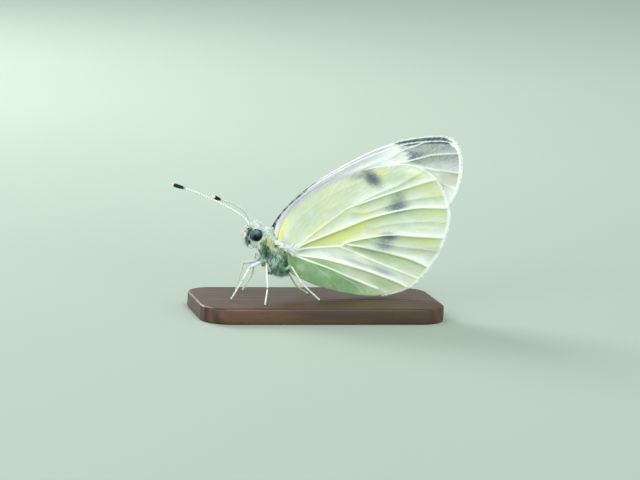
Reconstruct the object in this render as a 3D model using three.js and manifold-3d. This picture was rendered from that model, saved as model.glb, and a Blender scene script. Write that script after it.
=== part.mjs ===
// A small white butterfly at rest, wings closed over its back, standing on a low base.
// Millimetres. The head points to -X, the right side to +Y and +Z is up.
// The origin is the centre of the base's underside.
import * as THREE from "three";
import { ParametricGeometry } from "three/addons/geometries/ParametricGeometry.js";
import { mergeVertices } from "three/addons/utils/BufferGeometryUtils.js";
import Module from "manifold-3d";

const BASE = { length: 31, width: 15, height: 2, corner: 3.5, chamfer: 0.3 };
const CUT = 0.06; // clear width of the thin cut between neighbouring pieces

// The trunk has its own axis: s runs from the head to the tail, n points to the back.
const TRUNK = { x: -5.3, z: 8.0, pitch: THREE.MathUtils.degToRad(17) };
const TRUNK_SECTIONS = [
  { s: -4.45, top: 1.15, bottom: 0.9, half: 0.12 }, // face
  { s: -4.25, top: 1.8, bottom: 0.35, half: 0.66 },
  { s: -3.65, top: 2.5, bottom: -0.15, half: 1.0 }, // eyes
  { s: -3.1, top: 2.6, bottom: -0.45, half: 1.08 }, // crown
  { s: -2.55, top: 2.25, bottom: -0.45, half: 0.88 }, // nape
  { s: -2.2, top: 2.25, bottom: -0.6, half: 0.92 },
  { s: -1.7, top: 2.6, bottom: -1.05, half: 1.25 }, // collar
  { s: -0.9, top: 2.75, bottom: -1.9, half: 1.55 },
  { s: 0.2, top: 2.65, bottom: -2.75, half: 1.65 }, // deepest part of the thorax
  { s: 1.3, top: 2.1, bottom: -2.85, half: 1.55 },
  { s: 2.0, top: 1.2, bottom: -2.35, half: 1.25 },
  { s: 2.4, top: 0.85, bottom: -1.45, half: 1.02 }, // waist
  { s: 3.6, top: 0.95, bottom: -1.4, half: 1.1 },
  { s: 6.2, top: 0.85, bottom: -1.25, half: 1.02 },
  { s: 8.5, top: 0.5, bottom: -0.85, half: 0.72 },
  { s: 9.6, top: 0.15, bottom: -0.5, half: 0.36 },
  { s: 9.95, top: -0.08, bottom: -0.22, half: 0.08 }, // tip of the abdomen
];
const TRUNK_CUTS = { face: -4.45, nape: -2.45, collar: -1.5, waist: 2.3, tip: 9.95 };
const TRUNK_SIDES = 18;

const EYE = { x: -8.04, z: 10.03, inset: 0.42, radius: 0.86, back: 0.22 };
const PALP = {
  radius: 0.27,
  route: [[-8.3, 0.5, 8.4], [-8.95, 0.5, 8.7], [-9.35, 0.42, 9.4], [-9.4, 0.33, 10.2]],
};
const PROBOSCIS = { x: -8.72, z: 8.82, coil: 0.3, radius: 0.2 };

const ANTENNA = { radius: 0.25, clubRadius: 0.31, clubShare: 0.14 };
const ANTENNA_ROUTES = {
  left: [
    [-8.72, -0.4, 11.3], [-9.53, -1.7, 12.75], [-10.69, -3.2, 13.81], [-12.34, -5.2, 14.82],
    [-13.86, -7.0, 15.42], [-15.23, -8.45, 16.08],
  ],
  right: [
    [-8.6, 0.4, 11.2], [-9.43, 0.85, 12.04], [-10.59, 1.6, 12.78], [-12.55, 2.4, 13.7],
    [-15.09, 3.3, 14.74], [-17.98, 4.35, 15.55],
  ],
};

// Wing outlines in side view, as x and z round the wing from the root along the front edge.
const WING = { thickness: 0.5, layerGap: 0.1, midGap: 0.05, edges: 40, rings: 5 };
const FOREWING_OUTLINE = [
  [-5.75, 10.1], [-5.93, 11.17], [-4.5, 13.45], [-1.43, 16.24], [2.29, 18.55], [6.05, 20.48], [9.84, 21.83],
  [13.67, 22.38], [16.1, 22.3], [17.4, 21.45], [17.82, 19.1], [17.45, 16.42], [16.5, 14.3], [15.1, 11.2],
  [13.8, 9.3], [10.5, 8.9], [4.0, 9.0], [-1.5, 9.1], [-4.9, 9.3],
];
const HINDWING_OUTLINE = [
  [-5.6, 9.51], [-4.57, 12.29], [-2.39, 14.76], [0.71, 16.73], [4.22, 18.15], [7.9, 18.95], [11.11, 19.11],
  [13.61, 18.15], [15.48, 16.11], [16.56, 13.33], [16.39, 10.65], [15.08, 7.07], [12.51, 3.89], [9.84, 2.77],
  [6.75, 2.36], [3.51, 2.78], [0.3, 3.6], [-1.7, 4.4], [-3.5, 5.3], [-4.1, 6.6], [-4.4, 8.0],
];
// The right forewing is set lower at its root than the left one and swung a little higher at its tip.
const FOREWING_SET = {
  left: { x: 0, z: 0, turn: THREE.MathUtils.degToRad(1.2) },
  right: { x: 0.3, z: -0.2, turn: THREE.MathUtils.degToRad(-0.8) },
};

// Each leg runs from the hip by the end of the coxa, the knee and the ankle to the foot.
const LEG = { coxa: [0.42, 0.33], femur: [0.3, 0.26], tibia: [0.25, 0.25], tarsus: [0.25, 0.25], sides: 7 };
const FOOT_HEIGHT = BASE.height + 0.2;
const LEG_ROUTES = {
  fore_left: [
    [-6.35, -0.8, 7.1], [-7.25, -1.0, 6.8], [-8.88, -1.48, 6.12],
    [-9.83, -1.7, 4.43], [-11.15, -1.75, FOOT_HEIGHT],
  ],
  fore_right: [
    [-6.35, 0.8, 7.1], [-7.1, 1.05, 6.55], [-8.95, 2.1, 6.08],
    [-9.22, 2.6, 4.39], [-9.5, 3.6, FOOT_HEIGHT],
  ],
  mid_left: [
    [-5.8, -0.9, 6.3], [-6.24, -1.3, 5.5], [-7.02, -2.6, 6.74],
    [-7.07, -4.1, 3.88], [-7.6, -5.5, FOOT_HEIGHT],
  ],
  mid_right: [
    [-5.8, 0.9, 6.3], [-6.5, 1.35, 6.1], [-7.36, 2.6, 7.14],
    [-7.44, 3.8, 4.18], [-8.5, 4.4, FOOT_HEIGHT],
  ],
  hind_left: [
    [-4.8, -0.9, 6.0], [-4.4, -1.6, 5.85], [-3.85, -2.45, 6.47],
    [-2.37, -2.5, 4.22], [0.05, -2.2, FOOT_HEIGHT],
  ],
  hind_right: [
    [-4.8, 0.9, 6.0], [-4.6, 1.4, 5.55], [-3.95, 2.4, 6.1],
    [-2.0, 2.5, 3.05], [-0.45, 2.3, FOOT_HEIGHT],
  ],
};

const SIDES = { left: -1, right: 1 };
const UP = new THREE.Vector3(0, 0, 1);
const SIDEWAYS = new THREE.Vector3(0, 1, 0);

function finish(color, roughness, metalness = 0) {
  return new THREE.MeshStandardMaterial({ color, roughness, metalness });
}

const finishes = {
  wood: finish(0x4a3428, 0.45),
  coat: finish(0xd3d8cc, 0.95),
  wing: finish(0xf1f3dc, 0.8),
  wingApex: finish(0xeef1e0, 0.8),
  eye: finish(0x2f4852, 0.25),
  palp: finish(0xaeb6ae, 0.95),
  proboscis: finish(0x8a7a55, 0.5),
  antenna: finish(0xb9bdb4, 0.6),
  club: finish(0x1c1a19, 0.55),
  leg: finish(0xdfe6da, 0.7),
};

// Booleans.

const wasm = await Module();
wasm.setup();

function solidOf(geometry) {
  const bare = geometry.clone();
  bare.deleteAttribute("normal");
  bare.deleteAttribute("uv");
  const merged = mergeVertices(bare, 1e-4);
  return new wasm.Manifold(
    new wasm.Mesh({
      numProp: 3,
      vertProperties: new Float32Array(merged.attributes.position.array),
      triVerts: new Uint32Array(merged.index.array),
    }),
  );
}

function geometryOf(solid) {
  const mesh = solid.getMesh();
  const geometry = new THREE.BufferGeometry();
  geometry.setAttribute("position", new THREE.BufferAttribute(mesh.vertProperties, 3));
  geometry.setIndex(new THREE.BufferAttribute(mesh.triVerts, 1));
  geometry.computeVertexNormals();
  return geometry;
}

// The piece without the room its neighbours take. Of what is left, the largest body is kept.
function carve(geometry, neighbours) {
  const left = neighbours.reduce((solid, other) => solid.subtract(solidOf(other)), solidOf(geometry));
  const bodies = left.decompose();
  return geometryOf(bodies.reduce((a, b) => (a.volume() > b.volume() ? a : b)));
}

// Trunk.

function trunkPoint(s, y, n) {
  const [c, k] = [Math.cos(TRUNK.pitch), Math.sin(TRUNK.pitch)];
  return new THREE.Vector3(TRUNK.x + s * c + n * k, y, TRUNK.z - s * k + n * c);
}

function trunkPlace(x, z) {
  const [c, k] = [Math.cos(TRUNK.pitch), Math.sin(TRUNK.pitch)];
  const [dx, dz] = [x - TRUNK.x, z - TRUNK.z];
  return { s: dx * c - dz * k, n: dx * k + dz * c };
}

// A smooth curve through the values that the sections give for one key.
function sectionValue(key, s) {
  const list = TRUNK_SECTIONS;
  const last = list.length - 1;
  const i = THREE.MathUtils.clamp(list.findIndex((section) => section.s >= s) - 1, 0, last - 1);
  const slope = (k) => {
    const [a, b] = [list[Math.max(k - 1, 0)], list[Math.min(k + 1, last)]];
    return (b[key] - a[key]) / (b.s - a.s);
  };
  const [from, to] = [list[i], list[i + 1]];
  const width = to.s - from.s;
  const t = THREE.MathUtils.clamp((s - from.s) / width, 0, 1);
  const [t2, t3] = [t * t, t * t * t];
  return (
    (2 * t3 - 3 * t2 + 1) * from[key] +
    (t3 - 2 * t2 + t) * width * slope(i) +
    (3 * t2 - 2 * t3) * to[key] +
    (t3 - t2) * width * slope(i + 1)
  );
}

// One length of the trunk, closed by flat ends, or its fuller twin that cuts its neighbours.
function trunkLength(from, to, rings, grow = 0) {
  const [start, end] = [from + CUT / 2 - grow, to - CUT / 2 + grow];
  return new ParametricGeometry(
    (u, v, target) => {
      const ring = Math.round(v * (rings + 2));
      const s = THREE.MathUtils.lerp(start, end, THREE.MathUtils.clamp((ring - 1) / rings, 0, 1));
      const [top, bottom, half] = ["top", "bottom", "half"].map((key) => sectionValue(key, s));
      const size = ring === 0 || ring === rings + 2 ? 0 : 1;
      const turn = -2 * Math.PI * u;
      const n = (top + bottom) / 2 + size * ((top - bottom) / 2 + grow) * Math.cos(turn);
      target.copy(trunkPoint(s, size * (half + grow) * Math.sin(turn), n));
    },
    TRUNK_SIDES,
    rings + 2,
  );
}

// Limbs: round sections along a curve, closed to a point at both ends.

function limb(curve, radiusAt, sides, steps, grow = 0) {
  const length = curve.getLength();
  return new ParametricGeometry(
    (u, v, target) => {
      const t = (1 - Math.cos(Math.PI * v)) / 2; // closer rings near the ends
      const cap = radiusAt(t) / length;
      const edge = Math.min(t, 1 - t);
      const round = edge < cap ? Math.sqrt(Math.max(0, 1 - ((cap - edge) / cap) ** 2)) : 1;
      const tangent = curve.getTangentAt(t);
      const side = new THREE.Vector3().crossVectors(tangent, UP).normalize();
      const back = new THREE.Vector3().crossVectors(side, tangent);
      const turn = 2 * Math.PI * u;
      const radius = radiusAt(t) * round + (round > 0 ? grow : 0);
      target.copy(curve.getPointAt(t));
      target.addScaledVector(side, radius * Math.cos(turn));
      target.addScaledVector(back, -radius * Math.sin(turn));
      if (grow && edge === 0) target.addScaledVector(tangent, t < 0.5 ? -grow : grow);
    },
    sides,
    steps,
  );
}

function curveThrough(points) {
  return new THREE.CatmullRomCurve3(points.map((p) => new THREE.Vector3(...p)));
}

function straight(from, to) {
  return new THREE.LineCurve3(new THREE.Vector3(...from), new THREE.Vector3(...to));
}

// Head.

function eyeDome(side, grow = 0) {
  const radius = EYE.radius + grow;
  const back = EYE.back - grow;
  const start = Math.acos((back - EYE.inset) / radius);
  const profile = [new THREE.Vector2(0, back)];
  const steps = 7;
  for (let i = 0; i <= steps; i++) {
    const angle = start * (1 - i / steps);
    profile.push(new THREE.Vector2(radius * Math.sin(angle), EYE.inset + radius * Math.cos(angle)));
  }
  profile[steps + 1].x = 0;
  const dome = new THREE.LatheGeometry(profile, 14);
  if (side < 0) dome.rotateX(Math.PI);
  return dome.translate(EYE.x, 0, EYE.z);
}

function palp(side, grow = 0) {
  const curve = curveThrough(PALP.route.map(([x, y, z]) => [x, side * y, z]));
  return limb(curve, (t) => PALP.radius * (1 - 0.25 * t), 8, 8, grow);
}

function proboscisCoil(grow = 0) {
  return new THREE.TorusGeometry(PROBOSCIS.coil, PROBOSCIS.radius + grow, 8, 14)
    .rotateX(Math.PI / 2)
    .translate(PROBOSCIS.x, 0, PROBOSCIS.z);
}

function antennaCurve(side) {
  return curveThrough(ANTENNA_ROUTES[side]);
}

function antennaPiece(side, from, to, radiusAt, steps, grow = 0) {
  const whole = antennaCurve(side);
  const points = [0, 1, 2, 3, 4].map((i) => whole.getPointAt(from + ((to - from) * i) / 4));
  return limb(new THREE.CatmullRomCurve3(points), radiusAt, 8, steps, grow);
}

function antennaShaft(side, grow = 0) {
  return antennaPiece(side, 0, 1 - ANTENNA.clubShare, () => ANTENNA.radius, 12, grow);
}

function antennaClub(side) {
  const radiusAt = (t) => THREE.MathUtils.lerp(ANTENNA.radius, ANTENNA.clubRadius, Math.sin(Math.PI * t));
  return antennaPiece(side, 1 - ANTENNA.clubShare, 1, radiusAt, 8);
}

// Wings: a closed slab spread from the middle of its outline, bent round the trunk.

function smoothMax(a, b, blend = 0.3) {
  return (a + b + Math.hypot(a - b, blend)) / 2;
}

// How far the trunk pushes a wing sideways at a place in side view.
function thoraxPush(x, z) {
  const { s, n } = trunkPlace(x, z);
  return 1.5 / (1 + (Math.hypot(s / 2.6, n / 2.9) / 1.1) ** 4);
}

function abdomenPush(x, z) {
  const { s, n } = trunkPlace(x, z);
  const place = THREE.MathUtils.clamp(s, TRUNK_CUTS.waist, TRUNK_CUTS.tip);
  const middle = (sectionValue("top", place) + sectionValue("bottom", place)) / 2;
  const beyond = Math.abs(s - place);
  return (sectionValue("half", place) + 0.15) / (1 + (Math.hypot(n - middle, beyond) / 1.25) ** 4);
}

function forewingInner(x, z) {
  return WING.midGap + thoraxPush(x, z);
}

function hindwingInner(x, z) {
  const overForewing = THREE.MathUtils.smoothstep(z, 7.5, 8.8) * 0.3;
  const layer = WING.midGap + WING.thickness + WING.layerGap - 0.3 + overForewing;
  return smoothMax(layer + thoraxPush(x, z), abdomenPush(x, z) + CUT);
}

function wing(side, outline, innerAt, set = { x: 0, z: 0, turn: 0 }) {
  const root = new THREE.Vector3(outline[0][0], 0, outline[0][1]);
  const shift = new THREE.Vector3(set.x, 0, set.z).add(root);
  const points = outline.map(([x, z]) => new THREE.Vector3(x, 0, z));
  points.forEach((point) => point.sub(root).applyAxisAngle(SIDEWAYS, set.turn).add(shift));
  const edge = new THREE.CatmullRomCurve3(points, true);
  const middle = new THREE.Vector3();
  points.forEach((point) => middle.addScaledVector(point, 1 / points.length));
  const stacks = 2 * WING.rings + 1;
  return new ParametricGeometry(
    (u, v, target) => {
      const ring = Math.round(v * stacks);
      const outer = ring > WING.rings;
      const step = (outer ? stacks - ring : ring) / WING.rings;
      const reach = 1 - (1 - step) ** 1.6;
      target.copy(middle).lerp(edge.getPoint(side < 0 ? 1 - u : u), reach);
      target.y = side * (innerAt(target.x, target.z) + (outer ? WING.thickness : 0));
    },
    WING.edges,
    stacks,
  );
}

// Legs.

// A segment's round ends are centred on its two joints.
function legSegment(from, to, [start, end], grow = 0) {
  const line = straight(from, to);
  const direction = line.getTangent(0);
  line.v1.addScaledVector(direction, -start);
  line.v2.addScaledVector(direction, end);
  return limb(line, (t) => THREE.MathUtils.lerp(start, end, t), LEG.sides, 6, grow);
}

// Base.

function roundedRectangle(length, width, corner) {
  const [x, y] = [length / 2, width / 2];
  const shape = new THREE.Shape();
  shape.moveTo(-x + corner, -y);
  shape.lineTo(x - corner, -y);
  shape.absarc(x - corner, -y + corner, corner, -Math.PI / 2, 0);
  shape.lineTo(x, y - corner);
  shape.absarc(x - corner, y - corner, corner, 0, Math.PI / 2);
  shape.lineTo(-x + corner, y);
  shape.absarc(-x + corner, y - corner, corner, Math.PI / 2, Math.PI);
  shape.lineTo(-x, -y + corner);
  shape.absarc(-x + corner, -y + corner, corner, Math.PI, 1.5 * Math.PI);
  return shape;
}

function basePlate(grow = 0) {
  const { length, width, height, corner, chamfer } = BASE;
  const outline = roundedRectangle(length - 2 * chamfer, width - 2 * chamfer, corner - chamfer);
  const plate = new THREE.ExtrudeGeometry(outline, {
    depth: height + grow - 2 * chamfer,
    bevelSize: chamfer,
    bevelThickness: chamfer,
    bevelSegments: 1,
    curveSegments: 5,
  });
  return plate.translate(0, 0, chamfer);
}

// Assembly.

const butterfly = new THREE.Group();

function add(name, geometry, material) {
  const mesh = new THREE.Mesh(geometry, material);
  mesh.name = name;
  butterfly.add(mesh);
}

add("stand_base", basePlate(), finishes.wood);

const { face, nape, collar, waist, tip } = TRUNK_CUTS;
const mouthparts = [palp(-1, CUT), palp(1, CUT), proboscisCoil(CUT)];
const eyes = [eyeDome(-1, CUT), eyeDome(1, CUT)];
add("head", carve(trunkLength(face, nape, 7), [...mouthparts, ...eyes]), finishes.coat);
add("prothorax", carve(trunkLength(nape, collar, 3), eyes), finishes.coat);
add("thorax", trunkLength(collar, waist, 8), finishes.coat);
add("abdomen", trunkLength(waist, tip, 11), finishes.coat);
add("proboscis", proboscisCoil(), finishes.proboscis);

const fullHead = trunkLength(face, nape, 7, CUT);
const fullTrunk = [trunkLength(nape, collar, 3, CUT), trunkLength(collar, waist, 8, CUT)];

for (const [side, sign] of Object.entries(SIDES)) {
  add("eye_" + side, eyeDome(sign), finishes.eye);
  add("palp_" + side, carve(palp(sign), [proboscisCoil(CUT)]), finishes.palp);
  add("antenna_" + side, carve(antennaShaft(side), [fullHead]), finishes.antenna);
  add("antenna_club_" + side, carve(antennaClub(side), [antennaShaft(side, CUT)]), finishes.club);
  const forewing = wing(sign, FOREWING_OUTLINE, forewingInner, FOREWING_SET[side]);
  add("forewing_" + side, carve(forewing, fullTrunk), finishes.wingApex);
  add("hindwing_" + side, carve(wing(sign, HINDWING_OUTLINE, hindwingInner), fullTrunk), finishes.wing);
}

for (const [leg, [hip, trochanter, knee, ankle, foot]] of Object.entries(LEG_ROUTES)) {
  const fullCoxa = legSegment(hip, trochanter, LEG.coxa, CUT);
  const fullFemur = legSegment(trochanter, knee, LEG.femur, CUT);
  const fullTibia = legSegment(knee, ankle, LEG.tibia, CUT);
  add("coxa_" + leg, carve(legSegment(hip, trochanter, LEG.coxa), fullTrunk), finishes.leg);
  add("femur_" + leg, carve(legSegment(trochanter, knee, LEG.femur), [fullCoxa, ...fullTrunk]), finishes.leg);
  add("tibia_" + leg, carve(legSegment(knee, ankle, LEG.tibia), [fullFemur]), finishes.leg);
  const tarsus = legSegment(ankle, foot, LEG.tarsus);
  add("tarsus_" + leg, carve(tarsus, [fullTibia, basePlate(CUT / 2)]), finishes.leg);
}

export default butterfly;
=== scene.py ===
"""Looks of a small white butterfly at rest with closed wings, on a low wooden base.

Sizes are in millimetres and become metres where a mesh is written. The head points to -X, the right side
to +Y.
"""
import contextlib
import math

import bpy
import numpy as np
from mathutils import Matrix, Vector


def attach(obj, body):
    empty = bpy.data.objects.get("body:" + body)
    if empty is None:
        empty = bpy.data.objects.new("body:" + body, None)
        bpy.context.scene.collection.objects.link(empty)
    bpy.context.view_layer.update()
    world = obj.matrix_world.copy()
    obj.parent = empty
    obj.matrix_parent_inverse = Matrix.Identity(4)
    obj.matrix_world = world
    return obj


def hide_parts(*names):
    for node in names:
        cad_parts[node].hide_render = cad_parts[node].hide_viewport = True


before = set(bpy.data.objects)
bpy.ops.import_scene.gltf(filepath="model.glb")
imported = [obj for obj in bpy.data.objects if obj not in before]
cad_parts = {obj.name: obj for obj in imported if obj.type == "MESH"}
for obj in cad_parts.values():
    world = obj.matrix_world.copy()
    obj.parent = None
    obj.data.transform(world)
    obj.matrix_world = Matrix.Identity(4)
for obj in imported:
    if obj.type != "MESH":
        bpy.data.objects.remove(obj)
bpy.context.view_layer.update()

MM = 0.001
SIDES = {"left": -1, "right": 1}
rng = np.random.default_rng(11)

# Trunk: s runs from the head to the tail, n points to the back.
TRUNK_X, TRUNK_Z, TRUNK_PITCH = -5.3, 8.0, math.radians(17)
TRUNK_SECTIONS = np.array([  # s, top, bottom, half width
    (-4.45, 1.15, 0.90, 0.12), (-4.25, 1.80, 0.35, 0.66), (-3.65, 2.50, -0.15, 1.00),
    (-3.10, 2.60, -0.45, 1.08), (-2.55, 2.25, -0.45, 0.88), (-2.20, 2.25, -0.60, 0.92),
    (-1.70, 2.60, -1.05, 1.25), (-0.90, 2.75, -1.90, 1.55), (0.20, 2.65, -2.75, 1.65),
    (1.30, 2.10, -2.85, 1.55), (2.00, 1.20, -2.35, 1.25), (2.40, 0.85, -1.45, 1.02),
    (3.60, 0.95, -1.40, 1.10), (6.20, 0.85, -1.25, 1.02), (8.50, 0.50, -0.85, 0.72),
    (9.60, 0.15, -0.50, 0.36), (9.95, -0.08, -0.22, 0.08)])
FACE, NAPE, WAIST, TIP = -4.45, -2.45, 2.3, 9.95

EYE = {"x": -8.04, "z": 10.03, "inset": 0.42, "radius": 0.86}
PALP_ROUTE = [(-8.3, 0.5, 8.4), (-8.95, 0.5, 8.7), (-9.35, 0.42, 9.4), (-9.4, 0.33, 10.2)]
PROBOSCIS = {"x": -8.72, "z": 8.82, "coil": 0.42, "turns": 2.6, "radius": 0.085}
ANTENNA_ROUTES = {
    "left": [(-8.72, -0.4, 11.1), (-9.53, -1.7, 12.75), (-10.69, -3.2, 13.81), (-12.34, -5.2, 14.82),
             (-13.86, -7.0, 15.42), (-15.23, -8.45, 16.08)],
    "right": [(-8.6, 0.4, 11.05), (-9.43, 0.85, 12.04), (-10.59, 1.6, 12.78), (-12.55, 2.4, 13.7),
              (-15.09, 3.3, 14.74), (-17.98, 4.35, 15.55)],
}
BASE_LENGTH, BASE_WIDTH, BASE_HEIGHT = 31, 15, 2.0
BASE_CORNER, BASE_BEVEL = 3.5, 0.3
LEG_ROUTES = {  # hip, end of the coxa, knee, ankle, foot
    "fore_left": [
        (-6.35, -0.8, 7.1), (-7.25, -1.0, 6.8), (-8.88, -1.48, 6.12), (-9.83, -1.7, 4.43),
        (-11.15, -1.75, 2.13)],
    "fore_right": [
        (-6.35, 0.8, 7.1), (-7.1, 1.05, 6.55), (-8.95, 2.1, 6.08), (-9.22, 2.6, 4.39), (-9.5, 3.6, 2.13)],
    "mid_left": [
        (-5.8, -0.9, 6.3), (-6.24, -1.3, 5.5), (-7.02, -2.6, 6.74), (-7.07, -4.1, 3.88),
        (-7.6, -5.5, 2.13)],
    "mid_right": [
        (-5.8, 0.9, 6.3), (-6.5, 1.35, 6.1), (-7.36, 2.6, 7.14), (-7.44, 3.8, 4.18), (-8.5, 4.4, 2.13)],
    "hind_left": [
        (-4.8, -0.9, 6.0), (-4.4, -1.6, 5.85), (-3.85, -2.45, 6.47), (-2.37, -2.5, 4.22),
        (0.05, -2.2, 2.13)],
    "hind_right": [
        (-4.8, 0.9, 6.0), (-4.6, 1.4, 5.55), (-3.95, 2.4, 6.1), (-2.0, 2.5, 3.05), (-0.45, 2.3, 2.13)],
}

# Wings in side view, as x and z.
FOREWING_OUTLINE = [
    (-5.75, 10.1), (-5.93, 11.17), (-4.5, 13.45), (-1.43, 16.24), (2.29, 18.55), (6.05, 20.48),
    (9.84, 21.83), (13.67, 22.38), (16.1, 22.3), (17.4, 21.45), (17.82, 19.1), (17.45, 16.42),
    (16.5, 14.3), (15.1, 11.2), (13.8, 9.3), (10.5, 8.9), (4.0, 9.0), (-1.5, 9.1), (-4.9, 9.3)]
HINDWING_OUTLINE = [
    (-5.6, 9.51), (-4.57, 12.29), (-2.39, 14.76), (0.71, 16.73), (4.22, 18.15), (7.9, 18.95),
    (11.11, 19.11), (13.61, 18.15), (15.48, 16.11), (16.56, 13.33), (16.39, 10.65), (15.08, 7.07),
    (12.51, 3.89), (9.84, 2.77), (6.75, 2.36), (3.51, 2.78), (0.3, 3.6), (-1.7, 4.4), (-3.5, 5.3),
    (-4.1, 6.6), (-4.4, 8.0)]
FOREWING_SET = {"left": (0.0, 0.0, math.radians(1.2)), "right": (0.3, -0.2, math.radians(-0.8))}
FOREWING_HUB, HINDWING_HUB = (-5.1, 10.3), (-4.3, 8.6)
WING_THICKNESS = 0.09
WING_GRID = 480, 84  # columns round the wing, rows from its hub to its edge

# Each vein has its route from the root outward, its strength and how deep the trough below it is. That depth
# shapes the sheet and also sets the painted shade in the trough and the painted highlight on the ridge above
# the vein.
HINDWING_VEINS = {
    "humeral": ([(-5.1, 9.1), (-3.9, 11.0), (-2.0, 13.0), (0.4, 14.8), (3.6, 16.4), (6.7, 17.5),
                 (9.9, 18.3)], 0.25, 0.1),
    "sector": ([(-3.6, 8.2), (-2.5, 9.1), (0.0, 11.0), (3.3, 13.5)], 0.7, 0.28),
    "sector_front": ([(3.3, 13.5), (6.2, 15.0), (10.0, 16.7), (13.0, 18.4)], 0.3, 0.55),
    "sector_rear": ([(3.3, 13.5), (6.8, 14.8), (10.0, 15.9), (12.5, 16.7), (14.6, 17.3)], 0.85, 0.8),
    "media_front": ([(3.3, 13.3), (5.3, 13.0), (7.5, 13.6), (10.1, 14.4), (12.6, 14.9), (15.9, 15.3)],
                    0.3, 0.5),
    "media": ([(-3.5, 8.3), (-2.5, 8.9), (0.0, 9.8), (3.8, 11.3), (5.7, 12.1), (7.6, 12.7), (10.1, 13.3),
               (12.7, 13.7), (16.2, 13.7)], 1.0, 1.0),
    "media_rear": ([(5.8, 11.8), (6.6, 11.1), (8.3, 11.5), (10.2, 11.7), (12.8, 11.9), (16.3, 11.9)],
                   0.3, 0.35),
    "cross": ([(6.6, 11.1), (6.2, 9.8)], 0.4, 0.0),
    "cubitus_root": ([(-3.6, 8.4), (0.1, 8.6), (2.6, 8.75)], 0.9, 0.12),
    "cubitus": ([(2.6, 8.75), (3.9, 9.3), (6.2, 9.8), (9.0, 10.2), (12.9, 10.0), (15.9, 9.9)], 0.9, 0.95),
    "cubitus_mid": ([(6.2, 9.7), (7.7, 9.2), (10.3, 8.8), (15.6, 8.1)], 0.45, 0.35),
    "cubitus_rear": ([(3.6, 8.95), (5.2, 8.7), (7.4, 8.2), (10.4, 7.5), (12.4, 6.9), (14.4, 6.0)], 0.8, 1.0),
    "cubitus_low": ([(2.6, 8.7), (4.5, 7.95), (7.3, 6.8), (9.4, 6.0), (11.8, 5.1), (13.2, 4.5)], 0.8, 0.15),
    "anal": ([(-3.6, 7.9), (-2.4, 7.65), (0.1, 7.3), (2.3, 6.8), (4.6, 6.1), (7.4, 5.2), (10.4, 4.1),
              (11.6, 3.5)], 0.95, 0.8),
    "anal_rear": ([(-3.3, 7.7), (-2.4, 7.35), (-1.2, 6.9), (0.1, 6.45), (1.6, 5.9), (3.05, 5.25), (4.5, 4.6),
                   (6.0, 4.0), (7.8, 3.3)], 0.9, 0.5),
    "anal_fold": ([(-2.0, 7.0), (-0.7, 6.4), (0.3, 5.6), (2.3, 3.8), (2.9, 3.2)], 0.3, 0.0),
    "anal_edge": ([(2.2, 5.3), (3.3, 4.7), (4.9, 3.8), (5.9, 2.7)], 0.4, 0.0),
}
FOREWING_VEINS = {
    "costa": ([(-5.5, 11.2), (-2.6, 14.6), (2.3, 18.1), (7.3, 20.5), (9.6, 21.4)], 0.1, 0.15),
    "radius": ([(-4.4, 11.2), (-1.3, 14.5), (3.0, 17.3), (6.7, 19.2), (8.3, 19.7)], 0.3, 0.25),
    "radius_mid": ([(8.3, 19.7), (10.0, 20.75), (11.7, 21.4), (13.0, 21.9)], 0.7, 0.4),
    "radius_tip": ([(9.6, 19.2), (11.6, 19.65), (13.2, 20.1), (14.3, 20.35), (17.7, 20.6)], 0.8, 0.5),
    "media_front": ([(11.5, 18.9), (14.2, 18.5), (15.9, 18.3), (17.8, 18.05)], 0.8, 0.6),
    "media": ([(9.6, 17.6), (13.9, 17.3), (15.9, 16.6), (17.5, 15.9)], 0.6, 0.4),
    "media_rear": ([(8.0, 15.2), (12.0, 14.8), (16.4, 13.4)], 0.6, 0.4),
    "cubitus": ([(-4.6, 10.2), (2.0, 12.2), (8.0, 13.6), (15.2, 11.8)], 0.7, 0.4),
    "cubitus_rear": ([(3.0, 12.3), (8.5, 11.6), (14.2, 10.0)], 0.6, 0.4),
    "anal": ([(-4.6, 9.8), (3.0, 9.9), (12.5, 9.4)], 0.6, 0.3),
}
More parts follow.
